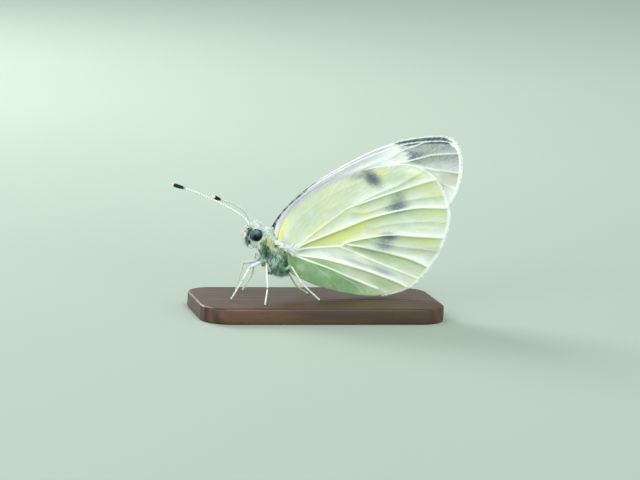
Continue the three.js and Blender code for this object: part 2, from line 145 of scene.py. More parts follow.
# Markings as centre x, z, half length, half width, turn in degrees, strength.
HINDWING_MARKS = {
    # Grey spots: painted shade where dark spots behind the thin wing show through it.
    "dark": [
        (4.9, 17.6, 1.7, 0.5, 12, 0.5), (6.35, 17.35, 1.75, 0.92, -36, 0.8),
        (9.95, 15.0, 1.25, 1.0, 0, 0.48), (9.85, 14.35, 1.3, 0.8, 4, 0.62),
        (9.75, 13.75, 1.7, 0.95, 8, 0.7), (8.8, 9.95, 1.4, 0.66, -3, 0.8),
        (8.3, 9.0, 1.55, 0.9, -8, 0.62)],
    # Grey-blue streaks above the anal vein: the painted shadow of the abdomen, seen through the thin wing.
    "blue": [
        (5.0, 6.62, 2.4, 0.26, -18.5, 0.42), (8.2, 5.62, 1.6, 0.36, -18, 0.68),
        (2.2, 7.35, 1.2, 0.2, -15, 0.25)],
    "lilac": [
        (-4.85, 9.2, 0.7, 0.45, 20, 0.7), (-2.0, 8.2, 1.5, 0.25, 2, 0.4), (-5.0, 9.9, 0.25, 0.9, 0, 0.5)],
    "white": [
        (12.2, 18.0, 1.7, 0.5, -18, 0.7), (13.6, 11.2, 2.2, 0.4, -3, 0.45), (2.6, 8.0, 2.6, 0.4, -8, 0.5),
        (4.9, 7.7, 1.7, 0.42, -24, 0.8), (5.6, 6.75, 1.8, 0.3, -20, 0.5),
        (11.7, 6.55, 1.3, 0.35, -24, 0.35)],
    # Green patches: painted green light that comes through the thin wing from behind.
    "clear": [
        (-2.2, 11.9, 2.4, 1.0, 50, 0.16), (10.2, 17.35, 1.8, 0.6, 8, 0.36),
        (8.2, 3.9, 1.7, 0.5, -20, 0.55), (14.7, 15.2, 1.8, 0.6, 3, 0.22), (7.9, 7.45, 1.6, 0.32, -18, 0.4),
        (0.5, 6.0, 2.6, 1.1, -22, 1.15), (12.2, 12.6, 2.4, 0.5, -2, 0.14)],
    "yellow": [
        (-5.1, 10.4, 1.25, 0.38, 68, 1.15), (-4.35, 12.1, 0.9, 0.26, 58, 0.6),
        (0.9, 9.4, 2.6, 0.45, 13, 0.7), (2.7, 9.85, 2.7, 0.72, 18, 1.0), (4.7, 11.0, 2.0, 0.6, 26, 0.9),
        (5.6, 12.9, 1.2, 0.35, -6, 0.75), (7.3, 18.0, 0.9, 0.6, 20, 0.6), (2.2, 15.2, 3.4, 1.1, 35, 0.14),
        (12.2, 17.9, 1.1, 0.5, 10, 0.4), (13.4, 16.3, 2.0, 0.6, -8, 0.35), (14.4, 12.9, 1.8, 0.5, 0, 0.45),
        (13.8, 9.3, 2.0, 0.55, -6, 0.4), (6.9, 10.6, 0.6, 0.6, 0, 0.7), (-0.6, 10.9, 1.8, 0.5, 42, 0.5),
        (4.6, 9.55, 1.5, 0.42, 15, 0.75), (14.6, 15.3, 1.7, 0.45, 3, 0.5)],
}


def deselect():
    if bpy.context.mode != "OBJECT":
        bpy.ops.object.mode_set(mode="OBJECT")
    bpy.ops.object.select_all(action="DESELECT")


@contextlib.contextmanager
def editing():
    """Edit mode, with everything selected at first."""
    bpy.ops.object.mode_set(mode="EDIT")
    bpy.ops.mesh.select_all(action="SELECT")
    yield
    bpy.ops.object.mode_set(mode="OBJECT")


def just_added(name):
    """The object that was added last, under its name."""
    piece = bpy.context.object
    piece.name = piece.data.name = name
    return piece


def new_object(name, data):
    made = bpy.data.objects.new(name, data)
    bpy.context.collection.objects.link(made)
    return made


def smooth_step(low, high, value):
    t = np.clip((value - low) / (high - low), 0, 1)
    return t * t * (3 - 2 * t)


def unit(vectors):
    return vectors / np.maximum(np.linalg.norm(vectors, axis=-1, keepdims=True), 1e-9)


def curve_through(points, closed=False, steps=12):
    """Places along a smooth curve through the given points."""
    p = np.array(points, float)
    if closed:
        p = np.vstack([p[-1:], p, p[:2]])
    else:
        p = np.vstack([2 * p[:1] - p[1:2], p, 2 * p[-1:] - p[-2:-1]])
    spans = []
    for a, b, c, d in zip(p, p[1:], p[2:], p[3:]):
        t = np.linspace(0, 1, steps, endpoint=False)[:, None]
        square, cube = 2 * a - 5 * b + 4 * c - d, 3 * b - a - 3 * c + d
        spans.append(0.5 * (2 * b + (c - a) * t + square * t**2 + cube * t**3))
    if not closed:
        spans.append(p[-2][None])
    return np.vstack(spans)


class Route:
    """A smooth curve read by its share of length, from 0 to 1."""

    def __init__(self, points, closed=False):
        self.places = curve_through(points, closed)
        if closed:
            self.places = np.vstack([self.places, self.places[:1]])
        steps = np.linalg.norm(np.diff(self.places, axis=0), axis=1)
        self.length = steps.sum()
        self.share = np.concatenate([[0], np.cumsum(steps)]) / self.length

    def at(self, share):
        return np.stack([np.interp(share, self.share, column) for column in self.places.T], -1)

    def heading(self, share):
        return unit(self.at(np.clip(share + 0.004, 0, 1)) - self.at(np.clip(share - 0.004, 0, 1)))


# Meshes.

def read_values(items, name, kind=np.float32, width=1):
    values = np.empty(len(items) * width, kind)
    items.foreach_get(name, values)
    return values


def read_points(piece):
    return read_values(piece.data.vertices, "co", width=3).reshape(-1, 3).astype(float)


def write_points(piece, points):
    piece.data.vertices.foreach_set("co", np.asarray(points, np.float32).ravel())
    piece.data.update()


def shaped_grid(name, columns, rows, place):
    """A grid whose points are laid where place(u, v) says, closed where its edges meet."""
    deselect()
    bpy.ops.mesh.primitive_grid_add(x_subdivisions=columns, y_subdivisions=rows, size=1)
    piece = just_added(name)
    flat = read_points(piece)
    write_points(piece, place(flat[:, 0] + 0.5, flat[:, 1] + 0.5) * MM)
    with editing():
        bpy.ops.mesh.remove_doubles(threshold=1e-6)
        bpy.ops.mesh.normals_make_consistent(inside=False)
    bpy.ops.object.shade_smooth()
    return piece


def tube(name, points, radius_at, columns=12, rows=24, blunt=0.02, guide=(0, 0, 1)):
    """A round limb along a route, with rounded ends."""
    route = Route(points)

    def place(u, v):
        ahead = route.heading(v)
        side = unit(np.cross(ahead, guide))
        back = np.cross(side, ahead)
        edge = np.clip(np.minimum(v, 1 - v) / blunt, 0, 1)
        radius = (radius_at(v) * np.sqrt(1 - (1 - edge) ** 2))[:, None]
        turn = (2 * np.pi * u)[:, None]
        return route.at(v) + radius * (side * np.cos(turn) - back * np.sin(turn))

    return shaped_grid(name, columns, rows, place)


def around(ahead, guide, turn):
    """Directions that point out from a limb, at each turn about it."""
    side = unit(np.cross(ahead, guide))
    return side * np.cos(turn)[:, None] + np.cross(ahead, side) * np.sin(turn)[:, None]


def joined(name, pieces):
    deselect()
    for piece in pieces:
        piece.select_set(True)
    bpy.context.view_layer.objects.active = pieces[0]
    bpy.ops.object.join()
    pieces[0].name = pieces[0].data.name = name
    return pieces[0]


def give_values(piece, **values):
    for name, numbers in values.items():
        attribute = piece.data.attributes.new(name, "FLOAT", "POINT")
        attribute.data.foreach_set("value", np.asarray(numbers, np.float32))


def finished(piece, material, slot, *nodes):
    piece.data.materials.clear()
    piece.data.materials.append(material)
    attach(piece, "root")
    if nodes:
        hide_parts(*nodes)


# Trunk shape.

def trunk_point(s, y, n):
    c, k = math.cos(TRUNK_PITCH), math.sin(TRUNK_PITCH)
    return np.stack(np.broadcast_arrays(TRUNK_X + s * c + n * k, y, TRUNK_Z - s * k + n * c), -1)


def trunk_place(x, z):
    c, k = math.cos(TRUNK_PITCH), math.sin(TRUNK_PITCH)
    dx, dz = x - TRUNK_X, z - TRUNK_Z
    return dx * c - dz * k, dx * k + dz * c


def section(s):
    """Top, bottom and half width of the trunk at each place along it, on a smooth curve."""
    known = TRUNK_SECTIONS
    slopes = np.gradient(known[:, 1:], known[:, 0], axis=0, edge_order=1)
    slopes[1:-1] = (known[2:, 1:] - known[:-2, 1:]) / (known[2:, :1] - known[:-2, :1])
    i = np.clip(np.searchsorted(known[:, 0], s) - 1, 0, len(known) - 2)
    width = (known[i + 1, 0] - known[i, 0])[:, None]
    t = np.clip((s - known[i, 0])[:, None] / width, 0, 1)
    value = (2 * t**3 - 3 * t**2 + 1) * known[i, 1:] + (t**3 - 2 * t**2 + t) * width * slopes[i]
    value += (3 * t**2 - 2 * t**3) * known[i + 1, 1:] + (t**3 - t**2) * width * slopes[i + 1]
    return value.T


def coat_depth(s):
    """How deep the skin lies under the tips of the coat."""
    return 0.16 + 0.16 * smooth_step(-2.8, -1.6, s) - 0.2 * smooth_step(1.6, 3.0, s)


def trunk_surface(s, turn, depth):
    top, bottom, half = section(s)
    ease = np.clip((s - FACE) / 0.3, 0, 1) * np.clip((TIP - s) / 0.3, 0, 1)
    depth = depth * ease
    n = (top + bottom) / 2 + np.maximum((top - bottom) / 2 - depth, 0.01) * np.cos(turn)
    return trunk_point(s, np.maximum(half - depth, 0.01) * np.sin(turn), n)


TAILWARD = trunk_point(1.0, 0.0, 0.0) - trunk_point(0.0, 0.0, 0.0)


# Wing shape.

def thorax_push(x, z):
    s, n = trunk_place(x, z)
    return 1.5 / (1 + (np.hypot(s / 2.6, n / 2.9) / 1.1) ** 4)


def abdomen_push(x, z):
    """How far the wings are held apart by the abdomen, and below it by the folds along their inner edges."""
    s, n = trunk_place(x, z)
    place = np.clip(s, WAIST, TIP - 0.8)
    top, bottom, half = section(place)
    rise = n - (top + bottom) / 2
    return (half + 0.12) / (1 + (np.hypot(np.where(rise < 0, 0.5 * rise, rise), s - place) / 1.6) ** 3)


def forewing_middle(x, z):
    return 0.05 + thorax_push(x, z) + 0.36


def hindwing_middle(x, z):
    outer = 0.35 + 0.3 * smooth_step(7.5, 8.8, z) + thorax_push(x, z)
    by_abdomen = abdomen_push(x, z) + 0.06
    return (outer + by_abdomen + np.hypot(outer - by_abdomen, 0.3)) / 2 + 0.14


def moved(points, shift):
    """Forewing points swung about the wing's root and set off, as that wing stands."""
    x, z, turn = shift
    root = np.array(FOREWING_OUTLINE[0])
    dx, dz = (np.asarray(points, float) - root).T
    c, k = math.cos(turn), math.sin(turn)
    return root + (x, z) + np.stack([dx * c + dz * k, dz * c - dx * k], -1)


def as_on_left(points, name_side):
    """Forewing points carried over to where they are on the left wing, whose veins and marks are given."""
    x, z, turn = FOREWING_SET[name_side]
    level = moved(np.asarray(points, float) - (x, z), (0.0, 0.0, -turn))
    return points if name_side == "left" else moved(level, FOREWING_SET["left"])


def beside_line(places, line):
    """Distance of each place from a line, the side it is on, and how far along it is, from 0 to 1."""
    nearest = np.full(len(places), 1e9)
    beside, share = np.zeros((2, len(places)))
    for i, (a, b) in enumerate(zip(line, line[1:])):
        along = b - a
        offset = places - a
        t = np.clip(offset @ along / max(along @ along, 1e-9), 0, 1)
        gap = np.linalg.norm(offset - t[:, None] * along, axis=1)
        closer = gap < nearest
        nearest = np.where(closer, gap, nearest)
        cross = along[0] * offset[:, 1] - along[1] * offset[:, 0]
        beside = np.where(closer, np.sign(cross), beside)
        share = np.where(closer, (i + t) / (len(line) - 1), share)
    return nearest, beside, share


def vein_fields(places, veins):
    """How much there is at each place of a vein, of the trough below one and of the ridge above one. Trough
    and ridge shape the sheet; in the colour they are painted shade and a painted highlight.
    """
    vein, fold, crest = np.zeros((3, len(places)))
    for points, strength, depth in veins.values():
        nearest, beside, share = beside_line(places, curve_through(points, steps=6))
        width = 0.085 + 0.05 * strength
        vein = np.maximum(vein, strength * np.exp(-(nearest / width) ** 2))
        inside = smooth_step(0, 0.14, share) * (1 - 0.35 * smooth_step(0.8, 1, share))
        below = np.where(beside < 0, nearest, 0)
        shade = smooth_step(0.04, 0.24, below) * np.exp(-np.maximum(below - 0.22, 0) / 0.65)
        fold = np.maximum(fold, depth * inside * shade)
        above = np.where(beside >= 0, nearest, 9)
        crest = np.maximum(crest, depth * inside * np.exp(-((above / 0.8) ** 1.5)))
    return vein, fold, crest * (1 - fold)


def patches(places, marks):
    total = np.zeros(len(places))
    for x, z, length, width, degrees, strength in marks:
        turn = math.radians(degrees)
        dx, dz = places[:, 0] - x, places[:, 1] - z
        along = (dx * math.cos(turn) + dz * math.sin(turn)) / length
        across = (dz * math.cos(turn) - dx * math.sin(turn)) / width
        total = np.maximum(total, strength * np.exp(-(along**2 + across**2) ** 1.2))
    return total


def wing_sheet(name, side, outline, hub, middle, veins, own=lambda flat: flat):
    """A thin closed sheet spread like a fan from its hub, with raised veins and folds between them."""
    columns, rows = WING_GRID
    edge = Route(outline, closed=True)

    def place(u, v):
        upper = v < 0.5
        reach = np.clip(np.where(upper, v, 1 - v) * 2 * (rows * 2 + 1) / (rows * 2), 0, 1)
        reach = reach * (1.25 - 0.25 * reach)
        rim = edge.at(u)
        flat = hub + (rim - hub) * reach[:, None]
        vein, fold, crest = vein_fields(own(flat), veins)
        far = np.linalg.norm(flat - hub, axis=1)
        ripple = 0.03 * np.sin(flat[:, 0] * 0.9 + 1.3 * np.sin(flat[:, 1] * 0.7))
        relief = 0.055 * vein - 0.07 * fold + 0.05 * crest + ripple
        out = middle(flat[:, 0], flat[:, 1]) + smooth_step(0.5, 3, far) * relief
        half = WING_THICKNESS / 2 * np.minimum(1, (1 - reach) * 40 + 0.25)
        y = side * (out + np.where(upper, -half, half))
        return np.stack([flat[:, 0], y, flat[:, 1]], -1)

    return shaped_grid(name, columns, rows * 2 + 1, place), edge


def upper_side(piece, side):
    """1 on the wing's upper side, which faces the other wing, and 0 on its underside."""
    normals = read_values(piece.data.vertex_normals, "vector", width=3)
    return (normals.reshape(-1, 3)[:, 1] * side < 0).astype(float)


def spoked_places(piece, hub):
    """Places as x and z. Their angle and distance from the wing's hub are for marks along the veins."""
    places = read_points(piece)[:, [0, 2]] / MM
    offset = places - hub
    give_values(piece, spoke=np.arctan2(offset[:, 1], offset[:, 0]), reach=np.linalg.norm(offset, axis=1))
    return places


def make_forewing(name_side, side, material):
    shift = FOREWING_SET[name_side]
    hub = moved([FOREWING_HUB], shift)[0]
    piece, edge = wing_sheet(
        "forewing_sheet_" + name_side, side, moved(FOREWING_OUTLINE, shift), hub, forewing_middle,
        FOREWING_VEINS, lambda flat: as_on_left(flat, name_side))
    places = spoked_places(piece, hub)
    gap = beside_line(places, edge.places)[0]
    own = as_on_left(places, name_side)
    x, z = own.T
    vein, fold, crest = vein_fields(own, FOREWING_VEINS)
    upper = upper_side(piece, side)
    under = 1 - upper

    slant = x - 11.15 + 1.1 * smooth_step(20.5, 20.9, z)
    floor = z - 19.2 + 0.27 * (x - 11.6)
    ragged = 0.25 * np.sin(9.0 * z + 2.0 * np.sin(3.1 * x)) + 0.15 * np.sin(23.0 * z + 5.0 * x)
    apex = smooth_step(-0.7, 0.5, slant + ragged) * smooth_step(-0.15, 0.25, floor)
    paler = 0.45 * smooth_step(20.4, 20.9, z) * smooth_step(12.6, 11.4, x)
    apex *= (1 - 0.3 * smooth_step(0.3, 2.6, slant)) * (1 - paler)
    below_apex = smooth_step(14.6, 15.6, x) * smooth_step(16.0, 16.7, z) * smooth_step(18.2, 17.6, z)
    flaked = 0.8 + 0.2 * np.sin(13.0 * x + 3.0 * np.sin(7.0 * z)) * np.sin(11.0 * z + 2.0 * np.sin(5.0 * x))
    line = smooth_step(0.03, 0.15, gap) * smooth_step(0.95, 0.5, gap) * flaked
    dash = np.clip(0.9 + 0.8 * np.sin(9 * (x + z)) * np.sin(5.3 * (x + z) + 1), 0.45, 1)
    base_edge = smooth_step(0.16, 0.1, gap) * smooth_step(-1.0, -2.6, x) * (z > 10.6) * dash
    black = smooth_step(9.0, 9.8, x) * smooth_step(17.5, 16.9, x + 0.4 * (z - 21.5))
    black *= smooth_step(17.2, 18.8, z)
    band = 0.15 + 0.65 * smooth_step(9.2, 11.5, x)
    black *= smooth_step(0.02, 0.09, gap) * smooth_step(band + 0.1, band - 0.05, gap)
    black *= 1 - 0.6 * smooth_step(0.5, 1.0, np.sin(20.0 * x + 4.0 * np.sin(13.0 * z)))
    spots = patches(own, [(7.0, 16.6, 1.3, 1.1, 0, 0.9), (8.4, 11.8, 1.3, 0.9, 0, 0.7)])
    dusting = smooth_step(2.5, -2.2, x) * smooth_step(1.2, 0.4, gap) * dash
    humeral = patches(own, [(-5.25, 10.5, 1.3, 0.4, 64, 1.25)])
    lilac = 0.95 * line * smooth_step(9.5, 5.0, x) * (z > 10.3) * (1 - np.clip(humeral, 0, 1))
    termen = smooth_step(15.0, 17.0, x)
    apex *= 1 - 0.35 * smooth_step(20.3, 18.6, z)
    # A painted highlight patch left of the apex, laid over the ridge highlights.
    crest = np.maximum(crest, patches(own, [(9.2, 18.7, 1.7, 0.9, 8, 0.95)]))
    uneven_gap = gap + 0.06 * np.sin(21.0 * x + 4.0 * np.sin(9.0 * z))
    apex_edge = smooth_step(0.32, 0.2, uneven_gap) * smooth_step(9.8, 11.0, x) * smooth_step(16.8, 16.0, x)
    apex_edge *= z > 20.5
    edge_marks = np.maximum(base_edge, 0.9 * apex_edge)
    upper_edge = smooth_step(8.9, 8.0, x) * smooth_step(-1.5, 1.0, x) * upper
    rim_width = 0.03 + 0.25 * termen + 0.05 * upper_edge
    upper_lilac = 0.65 * smooth_step(0.08, 0.16, gap) * smooth_step(0.6, 0.35, gap) * smooth_step(9.5, 7.5, x)
    rim = smooth_step(rim_width + 0.08, rim_width - 0.04, gap) * np.maximum(0.15 + 0.85 * termen, upper_edge)
    tip_brown = 0.5 * patches(own, [(14.3, 21.5, 1.6, 0.5, 0, 1.0)])
    give_values(
        piece, vein=vein * under + 0.25 * vein * upper, fold=fold * under, crest=crest * under,
        dark=np.maximum(upper * np.maximum(np.maximum(black, spots), dusting), edge_marks * under),
        blue=under * apex, yellow=under * humeral, clear=0 * x, lilac=under * lilac + upper * upper_lilac,
        rim=rim * (1 - edge_marks), brown=under * np.maximum(below_apex, tip_brown))
    finished(piece, material, "forewing", "forewing_" + name_side)
    return edge, hub


def make_hindwing(name_side, side, material):
    hub = np.array(HINDWING_HUB)
    piece, edge = wing_sheet(
        "hindwing_sheet_" + name_side, side, HINDWING_OUTLINE, hub, hindwing_middle, HINDWING_VEINS)
    places = spoked_places(piece, hub)
    vein, fold, crest = vein_fields(places, HINDWING_VEINS)
    gap = beside_line(places, edge.places)[0]
    x, z = places.T
    outer = smooth_step(9.0, 13.5, x) * smooth_step(17.0, 14.5, z)
    front = smooth_step(0.13, 0.04, gap) * (1 - outer) * (z > 9.5) * smooth_step(2.0, 9.0, x)
    # Below the anal vein, fading toward the outer end: painted green light through the thin wing from behind.
    below_anal = z + 0.41 * x - 6.46
    clear = smooth_step(0.05, -0.3, below_anal) * (1 - 0.7 * smooth_step(4.5, 9.0, x))
    marks = {name: patches(places, spots) for name, spots in HINDWING_MARKS.items()}
    crest *= 1 - 0.5 * smooth_step(5.0, 0.0, x) * (z > 8.7)
    front_lilac = 0.6 * smooth_step(0.7, 0.1, gap) * smooth_step(9.0, 5.0, x) * smooth_step(11.8, 13.5, z)
    give_values(
        piece, vein=vein, fold=fold, crest=np.maximum(crest, marks["white"]), dark=marks["dark"],
        blue=marks["blue"], yellow=marks["yellow"], clear=np.maximum(clear, marks["clear"]), brown=0 * x,
        lilac=np.maximum(marks["lilac"], front_lilac),
        rim=np.maximum(0.62 * smooth_step(0.5, 0.05, gap) * outer, 0.75 * front))
    finished(piece, material, "hindwing", "hindwing_" + name_side)
    return edge, hub


# Hair and scales.

TUFT_POINTS = 7  # three at the root, three half-way up and the tip
UNWRAP_SHARE, UNWRAP_MARGIN, UNWRAP_TUFT = 0.98, 0.005, 0.003
LOCK_BEND, LOCK_SCATTER = 0.3, 0.3


def on_unwrap(across, along):
    """Places on the unwrap, which runs from 0 to 1 both ways, with a narrow margin."""
    return np.stack(np.broadcast_arrays(across, along), -1) * UNWRAP_SHARE + UNWRAP_MARGIN


def tuft_mesh(name, roots, ahead, out, length, width, patch, shade, bend=0.35):
    """Closed three-sided spikes that rise from their roots and bend over along the lie of the coat."""
    count = len(roots)
    length, width = np.broadcast_to(length, count)[:, None], np.broadcast_to(width, count)[:, None]
    across = unit(np.cross(ahead, out))
    rise = unit(np.cross(across, ahead))
    middle = roots + ahead * length * 0.5 + rise * width * 0.5
    tip = roots + (ahead - rise * bend) * length
    corners = [(1, -0.15), (-1, -0.15), (0, 0.45)]
    ring = [roots + across * width * a + rise * width * b for a, b in corners]
    ring += [middle + (across * a * 0.8 + rise * b * 0.8) * width for a, b in corners]
    points = np.stack(ring + [tip], 1).reshape(-1, 3)
    base = np.arange(count)[:, None] * TUFT_POINTS
    quads = np.array([(0, 1, 4, 3), (1, 2, 5, 4), (2, 0, 3, 5)])
    caps = np.array([(3, 4, 6), (4, 5, 6), (5, 3, 6), (0, 2, 1)])
    faces = [(base + quads.ravel()).reshape(-1, 4), (base + caps.ravel()).reshape(-1, 3)]
    mesh = bpy.data.meshes.new(name)
    mesh.from_pydata((points * MM).tolist(), [], faces[0].tolist() + faces[1].tolist())
    root_of, corner_of = np.divmod(read_values(mesh.loops, "vertex_index", np.int32), TUFT_POINTS)
    outline = [(0, 0), (1, 0), (0.5, 0.3), (0.2, 0.6), (0.8, 0.6), (0.5, 0.8), (0.5, 1)]
    spread = np.array(outline) * UNWRAP_TUFT
    unwrap = mesh.uv_layers.new(name="OFBake")
    unwrap.data.foreach_set("uv", (patch[root_of] + spread[corner_of]).astype(np.float32).ravel())
    piece = new_object(name, mesh)
    give_values(piece, shade=np.repeat(shade, TUFT_POINTS), tip=np.tile([0, 0, 0, 0.5, 0.5, 0.5, 1], count))
    return piece


def eye_centre(side):
    return np.array([EYE["x"], side * EYE["inset"], EYE["z"]])


def off_eyes(roots, margin):
    """False where an eye is."""
    keep = np.ones(len(roots), bool)
    for side in SIDES.values():
        keep &= np.linalg.norm(roots - eye_centre(side), axis=1) > EYE["radius"] + margin
    return keep


def trunk_roots(count, start, end, turn_range=(0, 2 * math.pi), eye_gap=None):
    """Seeded places on the skin with their outward direction and their place on its unwrap."""
    s = rng.uniform(start, end, count * 4)
    turn = rng.uniform(*turn_range, count * 4)
    top, bottom, half = section(s)
    girth = (top - bottom) / 2 + half
    keep = rng.uniform(0, girth.max(), count * 4) < girth
    s, turn = s[keep][:count], turn[keep][:count]
    depth = coat_depth(s) + 0.03
    roots = trunk_surface(s, turn, depth)
    ds = trunk_surface(s + 0.02, turn, depth) - roots
    dt = trunk_surface(s, turn + 0.02, depth) - roots
    out = unit(np.cross(dt, ds))
    middle = trunk_point(s, 0 * s, (section(s)[0] + section(s)[1]) / 2)
    out *= np.sign(np.sum(out * (roots - middle), 1))[:, None]
    found = s, turn, roots, out, on_unwrap(turn / (2 * math.pi) % 1, (s - FACE) / (TIP - FACE))
    if eye_gap is None:
        return found
    keep = off_eyes(roots, eye_gap)
    return [values[keep] for values in found]


def jitter(vectors, amount):
    return unit(vectors + rng.normal(0, amount, vectors.shape))


def lock_coat(name, material, slot, roots, lie, out, patch, length, width, hairs, spread, shade):
    """Pointed locks, each of a few hairs that start side by side and lean together at their tips."""
    count = len(roots)
    pick = np.repeat(np.arange(count), hairs)
    across = unit(np.cross(lie, out))
    other = np.cross(out, across)
    angle = rng.uniform(0, 2 * np.pi, len(pick))
    radius = spread * np.sqrt(rng.uniform(0, 1, len(pick)))
    offset = across[pick] * (radius * np.cos(angle))[:, None]
    offset += other[pick] * (radius * np.sin(angle))[:, None]
    lengths = np.broadcast_to(length, count)
    tips = (roots + lie * lengths[:, None])[pick] + rng.normal(0, spread * LOCK_SCATTER, (len(pick), 3))
    starts = roots[pick] + offset
    reach = (tips - starts) * rng.uniform(0.72, 1.08, len(pick))[:, None]
    shades = np.clip(shade[pick] + rng.normal(0, 0.1, len(pick)), 0, 1)
    piece = tuft_mesh(
        name, starts, unit(reach), out[pick], np.linalg.norm(reach, axis=1), width, patch[pick], shades,
        LOCK_BEND)
    finished(piece, material, slot)


def leaning(out, way, flat):
    """The way that hair points: along the surface toward a direction, raised from it by the rest of flat."""
    along = unit(way - out * np.sum(way * out, 1)[:, None])
    return unit(along * flat + out * (1 - flat))


def head_coat(material):
    s, turn, roots, out, patch = trunk_roots(1700, FACE + 0.03, NAPE + 0.15, eye_gap=0.06)
    crown = smooth_step(0.35, 0.9, np.cos(turn))[:, None]
    chin = smooth_step(0.3, 0.9, -np.cos(turn))[:, None]
    way = np.array([-0.9, 0, 0.25]) * crown + np.array([-0.5, 0, -0.8]) * chin
    way = way + np.array([-0.55, 0, -0.35]) * (1 - crown - chin)
    lie = jitter(leaning(out, way + 1e-6, 0.72 - 0.2 * crown), 0.18)
    length = rng.uniform(0.3, 0.5, len(s)) * (0.8 + 0.35 * crown[:, 0] + 0.15 * chin[:, 0])
    length *= np.where(rng.uniform(0, 1, len(s)) < 0.2, 1.45, 1.0)
    length = np.where(off_eyes(roots, 0.22), length, np.minimum(length, 0.26))
    lock_coat("coat_head", material, "coat", roots, lie, jitter(out, 0.5), patch, length, 0.026, 8, 0.09,
              rng.uniform(0.5, 1, len(s)))


def eye_ring_coat(material):
    """Short hair that stands round each eye."""
    for name_side, side in SIDES.items():
        count = 240
        angle = rng.uniform(0, 2 * np.pi, count)
        radial = np.stack([np.cos(angle), np.zeros(count), np.sin(angle)], -1)
        height = rng.uniform(0.02, 0.2, count)
        ring = EYE["radius"] * 1.03 * np.sqrt(1 - (height / EYE["radius"]) ** 2)
        roots = eye_centre(side) + radial * ring[:, None] + np.array([0, side, 0]) * height[:, None]
        out = unit(radial + np.array([0, 0.4 * side, 0]))
        way = np.tile([0.0, side * 0.45, 0.0], (count, 1)) + radial * 0.8
        lie = jitter(unit(way), 0.16)
        front = smooth_step(0.2, 0.9, -radial[:, 0])
        length = rng.uniform(0.16, 0.3, count) * (1 + 0.5 * front)
        lock_coat("coat_eye_ring_" + name_side, material, "coat", roots, lie, out,
                  on_unwrap(angle / (2 * np.pi), height), length, 0.02, 5, 0.05, rng.uniform(0.5, 1, count))


def thorax_coat(material):
    s, turn, roots, out, patch = trunk_roots(2100, NAPE - 0.1, WAIST + 0.3)
    back = smooth_step(0.3, 0.9, np.cos(turn))[:, None]
    belly = smooth_step(0.4, 0.95, -np.cos(turn))[:, None]
    side_way = np.array([0.28, 0, -1.0])
    way = TAILWARD * back + side_way * (1 - back) * (1 - 0.3 * belly) + TAILWARD * 0.3 * belly
    lie = jitter(leaning(out, way, 0.84 - 0.12 * back - 0.15 * belly), 0.07)
    length = rng.uniform(0.6, 1.0, len(s)) * (1 - 0.2 * back[:, 0]) * (1 - 0.35 * smooth_step(-1.2, -2.2, s))
    shade = rng.uniform(0, 1, len(s))
    lock_coat("coat_thorax", material, "coat", roots, lie, jitter(out, 0.4), patch, length, 0.028, 9, 0.1,
              shade)
    soft = belly[:, 0] > 0.05
    lie = jitter(leaning(out[soft], way[soft], 0.45), 0.15)
    lock_coat("coat_belly", material, "coat", roots[soft], lie, out[soft], patch[soft],
              length[soft] * 1.15, 0.016, 5, 0.1, np.full(soft.sum(), 0.9))


def collar_coat(material):
    """Raised fluff over the nape and collar."""
    s, _, roots, out, patch = trunk_roots(520, -3.0, -1.0, (-1.35, 1.35), eye_gap=0.12)
    lie = jitter(leaning(out, np.tile([0.6, 0.0, 0.15], (len(s), 1)), 0.42), 0.16)
    rise = 0.38 + 0.22 * np.exp(-(((s + 2.35) / 0.35) ** 2))
    length = rise * rng.uniform(0.75, 1.15, len(s))
    lock_coat("coat_collar", material, "coat", roots, lie, jitter(out, 0.5), patch, length, 0.03, 8, 0.09,
              rng.uniform(0.6, 1, len(s)))


def abdomen_coat(material):
    _, _, roots, out, patch = trunk_roots(7000, WAIST, TIP - 0.1)
    lie = unit(TAILWARD - out * (out @ TAILWARD)[:, None])
    ahead = jitter(unit(lie + out * 0.12), 0.08)
    length = rng.uniform(0.22, 0.36, len(roots))
    piece = tuft_mesh("coat_abdomen", roots, ahead, out, length, 0.04, patch, rng.uniform(0, 1, len(roots)))
    finished(piece, material, "coat")


def wing_root_coat(name_side, side, material):
    """White hair that spreads from the root over the bases of the veins."""
    count = 130
    angle = rng.uniform(math.radians(-50), math.radians(60), count)
    reach = rng.uniform(0.0, 1.0, count) * 0.75
    x, z = HINDWING_HUB[0] + 0.05 + reach * np.cos(angle), HINDWING_HUB[1] - 0.2 + reach * np.sin(angle)
    y = side * (hindwing_middle(x, z) + 0.05)
    roots = np.stack([x, y, z], -1)
    out = np.tile([-0.2, float(side), 0.0], (count, 1))
    spoke = np.stack([np.cos(angle), 0 * angle, np.sin(angle)], -1)
    lie = jitter(leaning(unit(out), spoke, 0.9), 0.07)
    patch = on_unwrap(angle / np.pi * 0.5 + 0.5, reach / 2)
    length = rng.uniform(0.5, 1.15, count) * (1 - 0.3 * reach)
    lock_coat("coat_wing_root_" + name_side, material, "hindwing", roots, lie, unit(out), patch, length,
              0.02, 4, 0.06, rng.uniform(0.0, 0.9, count))


def wing_joint_coat(name_side, side, material):
    """A soft white edge where the thorax meets the base of the hindwing."""
    count = 240
    share, off = rng.uniform(0, 1, count), rng.normal(0, 0.13, count)
    x, z = -5.95 + 1.85 * share + 0.5 * off, 9.55 - 1.1 * share + 0.85 * off
    y = side * (np.maximum(hindwing_middle(x, z), thorax_push(x, z)) + 0.05)
    roots = np.stack([x, y, z], -1)
    out = unit(np.tile([-0.3, float(side), 0.15], (count, 1)))
    lie = jitter(leaning(out, np.tile([0.9, 0.0, -0.3], (count, 1)), 0.84), 0.25)
    lock_coat("coat_wing_joint_" + name_side, material, "coat", roots, lie, out,
              on_unwrap(share, off * 0.3 + 0.5), rng.uniform(0.3, 0.6, count), 0.022, 6, 0.09,
              rng.uniform(0.0, 0.93, count))


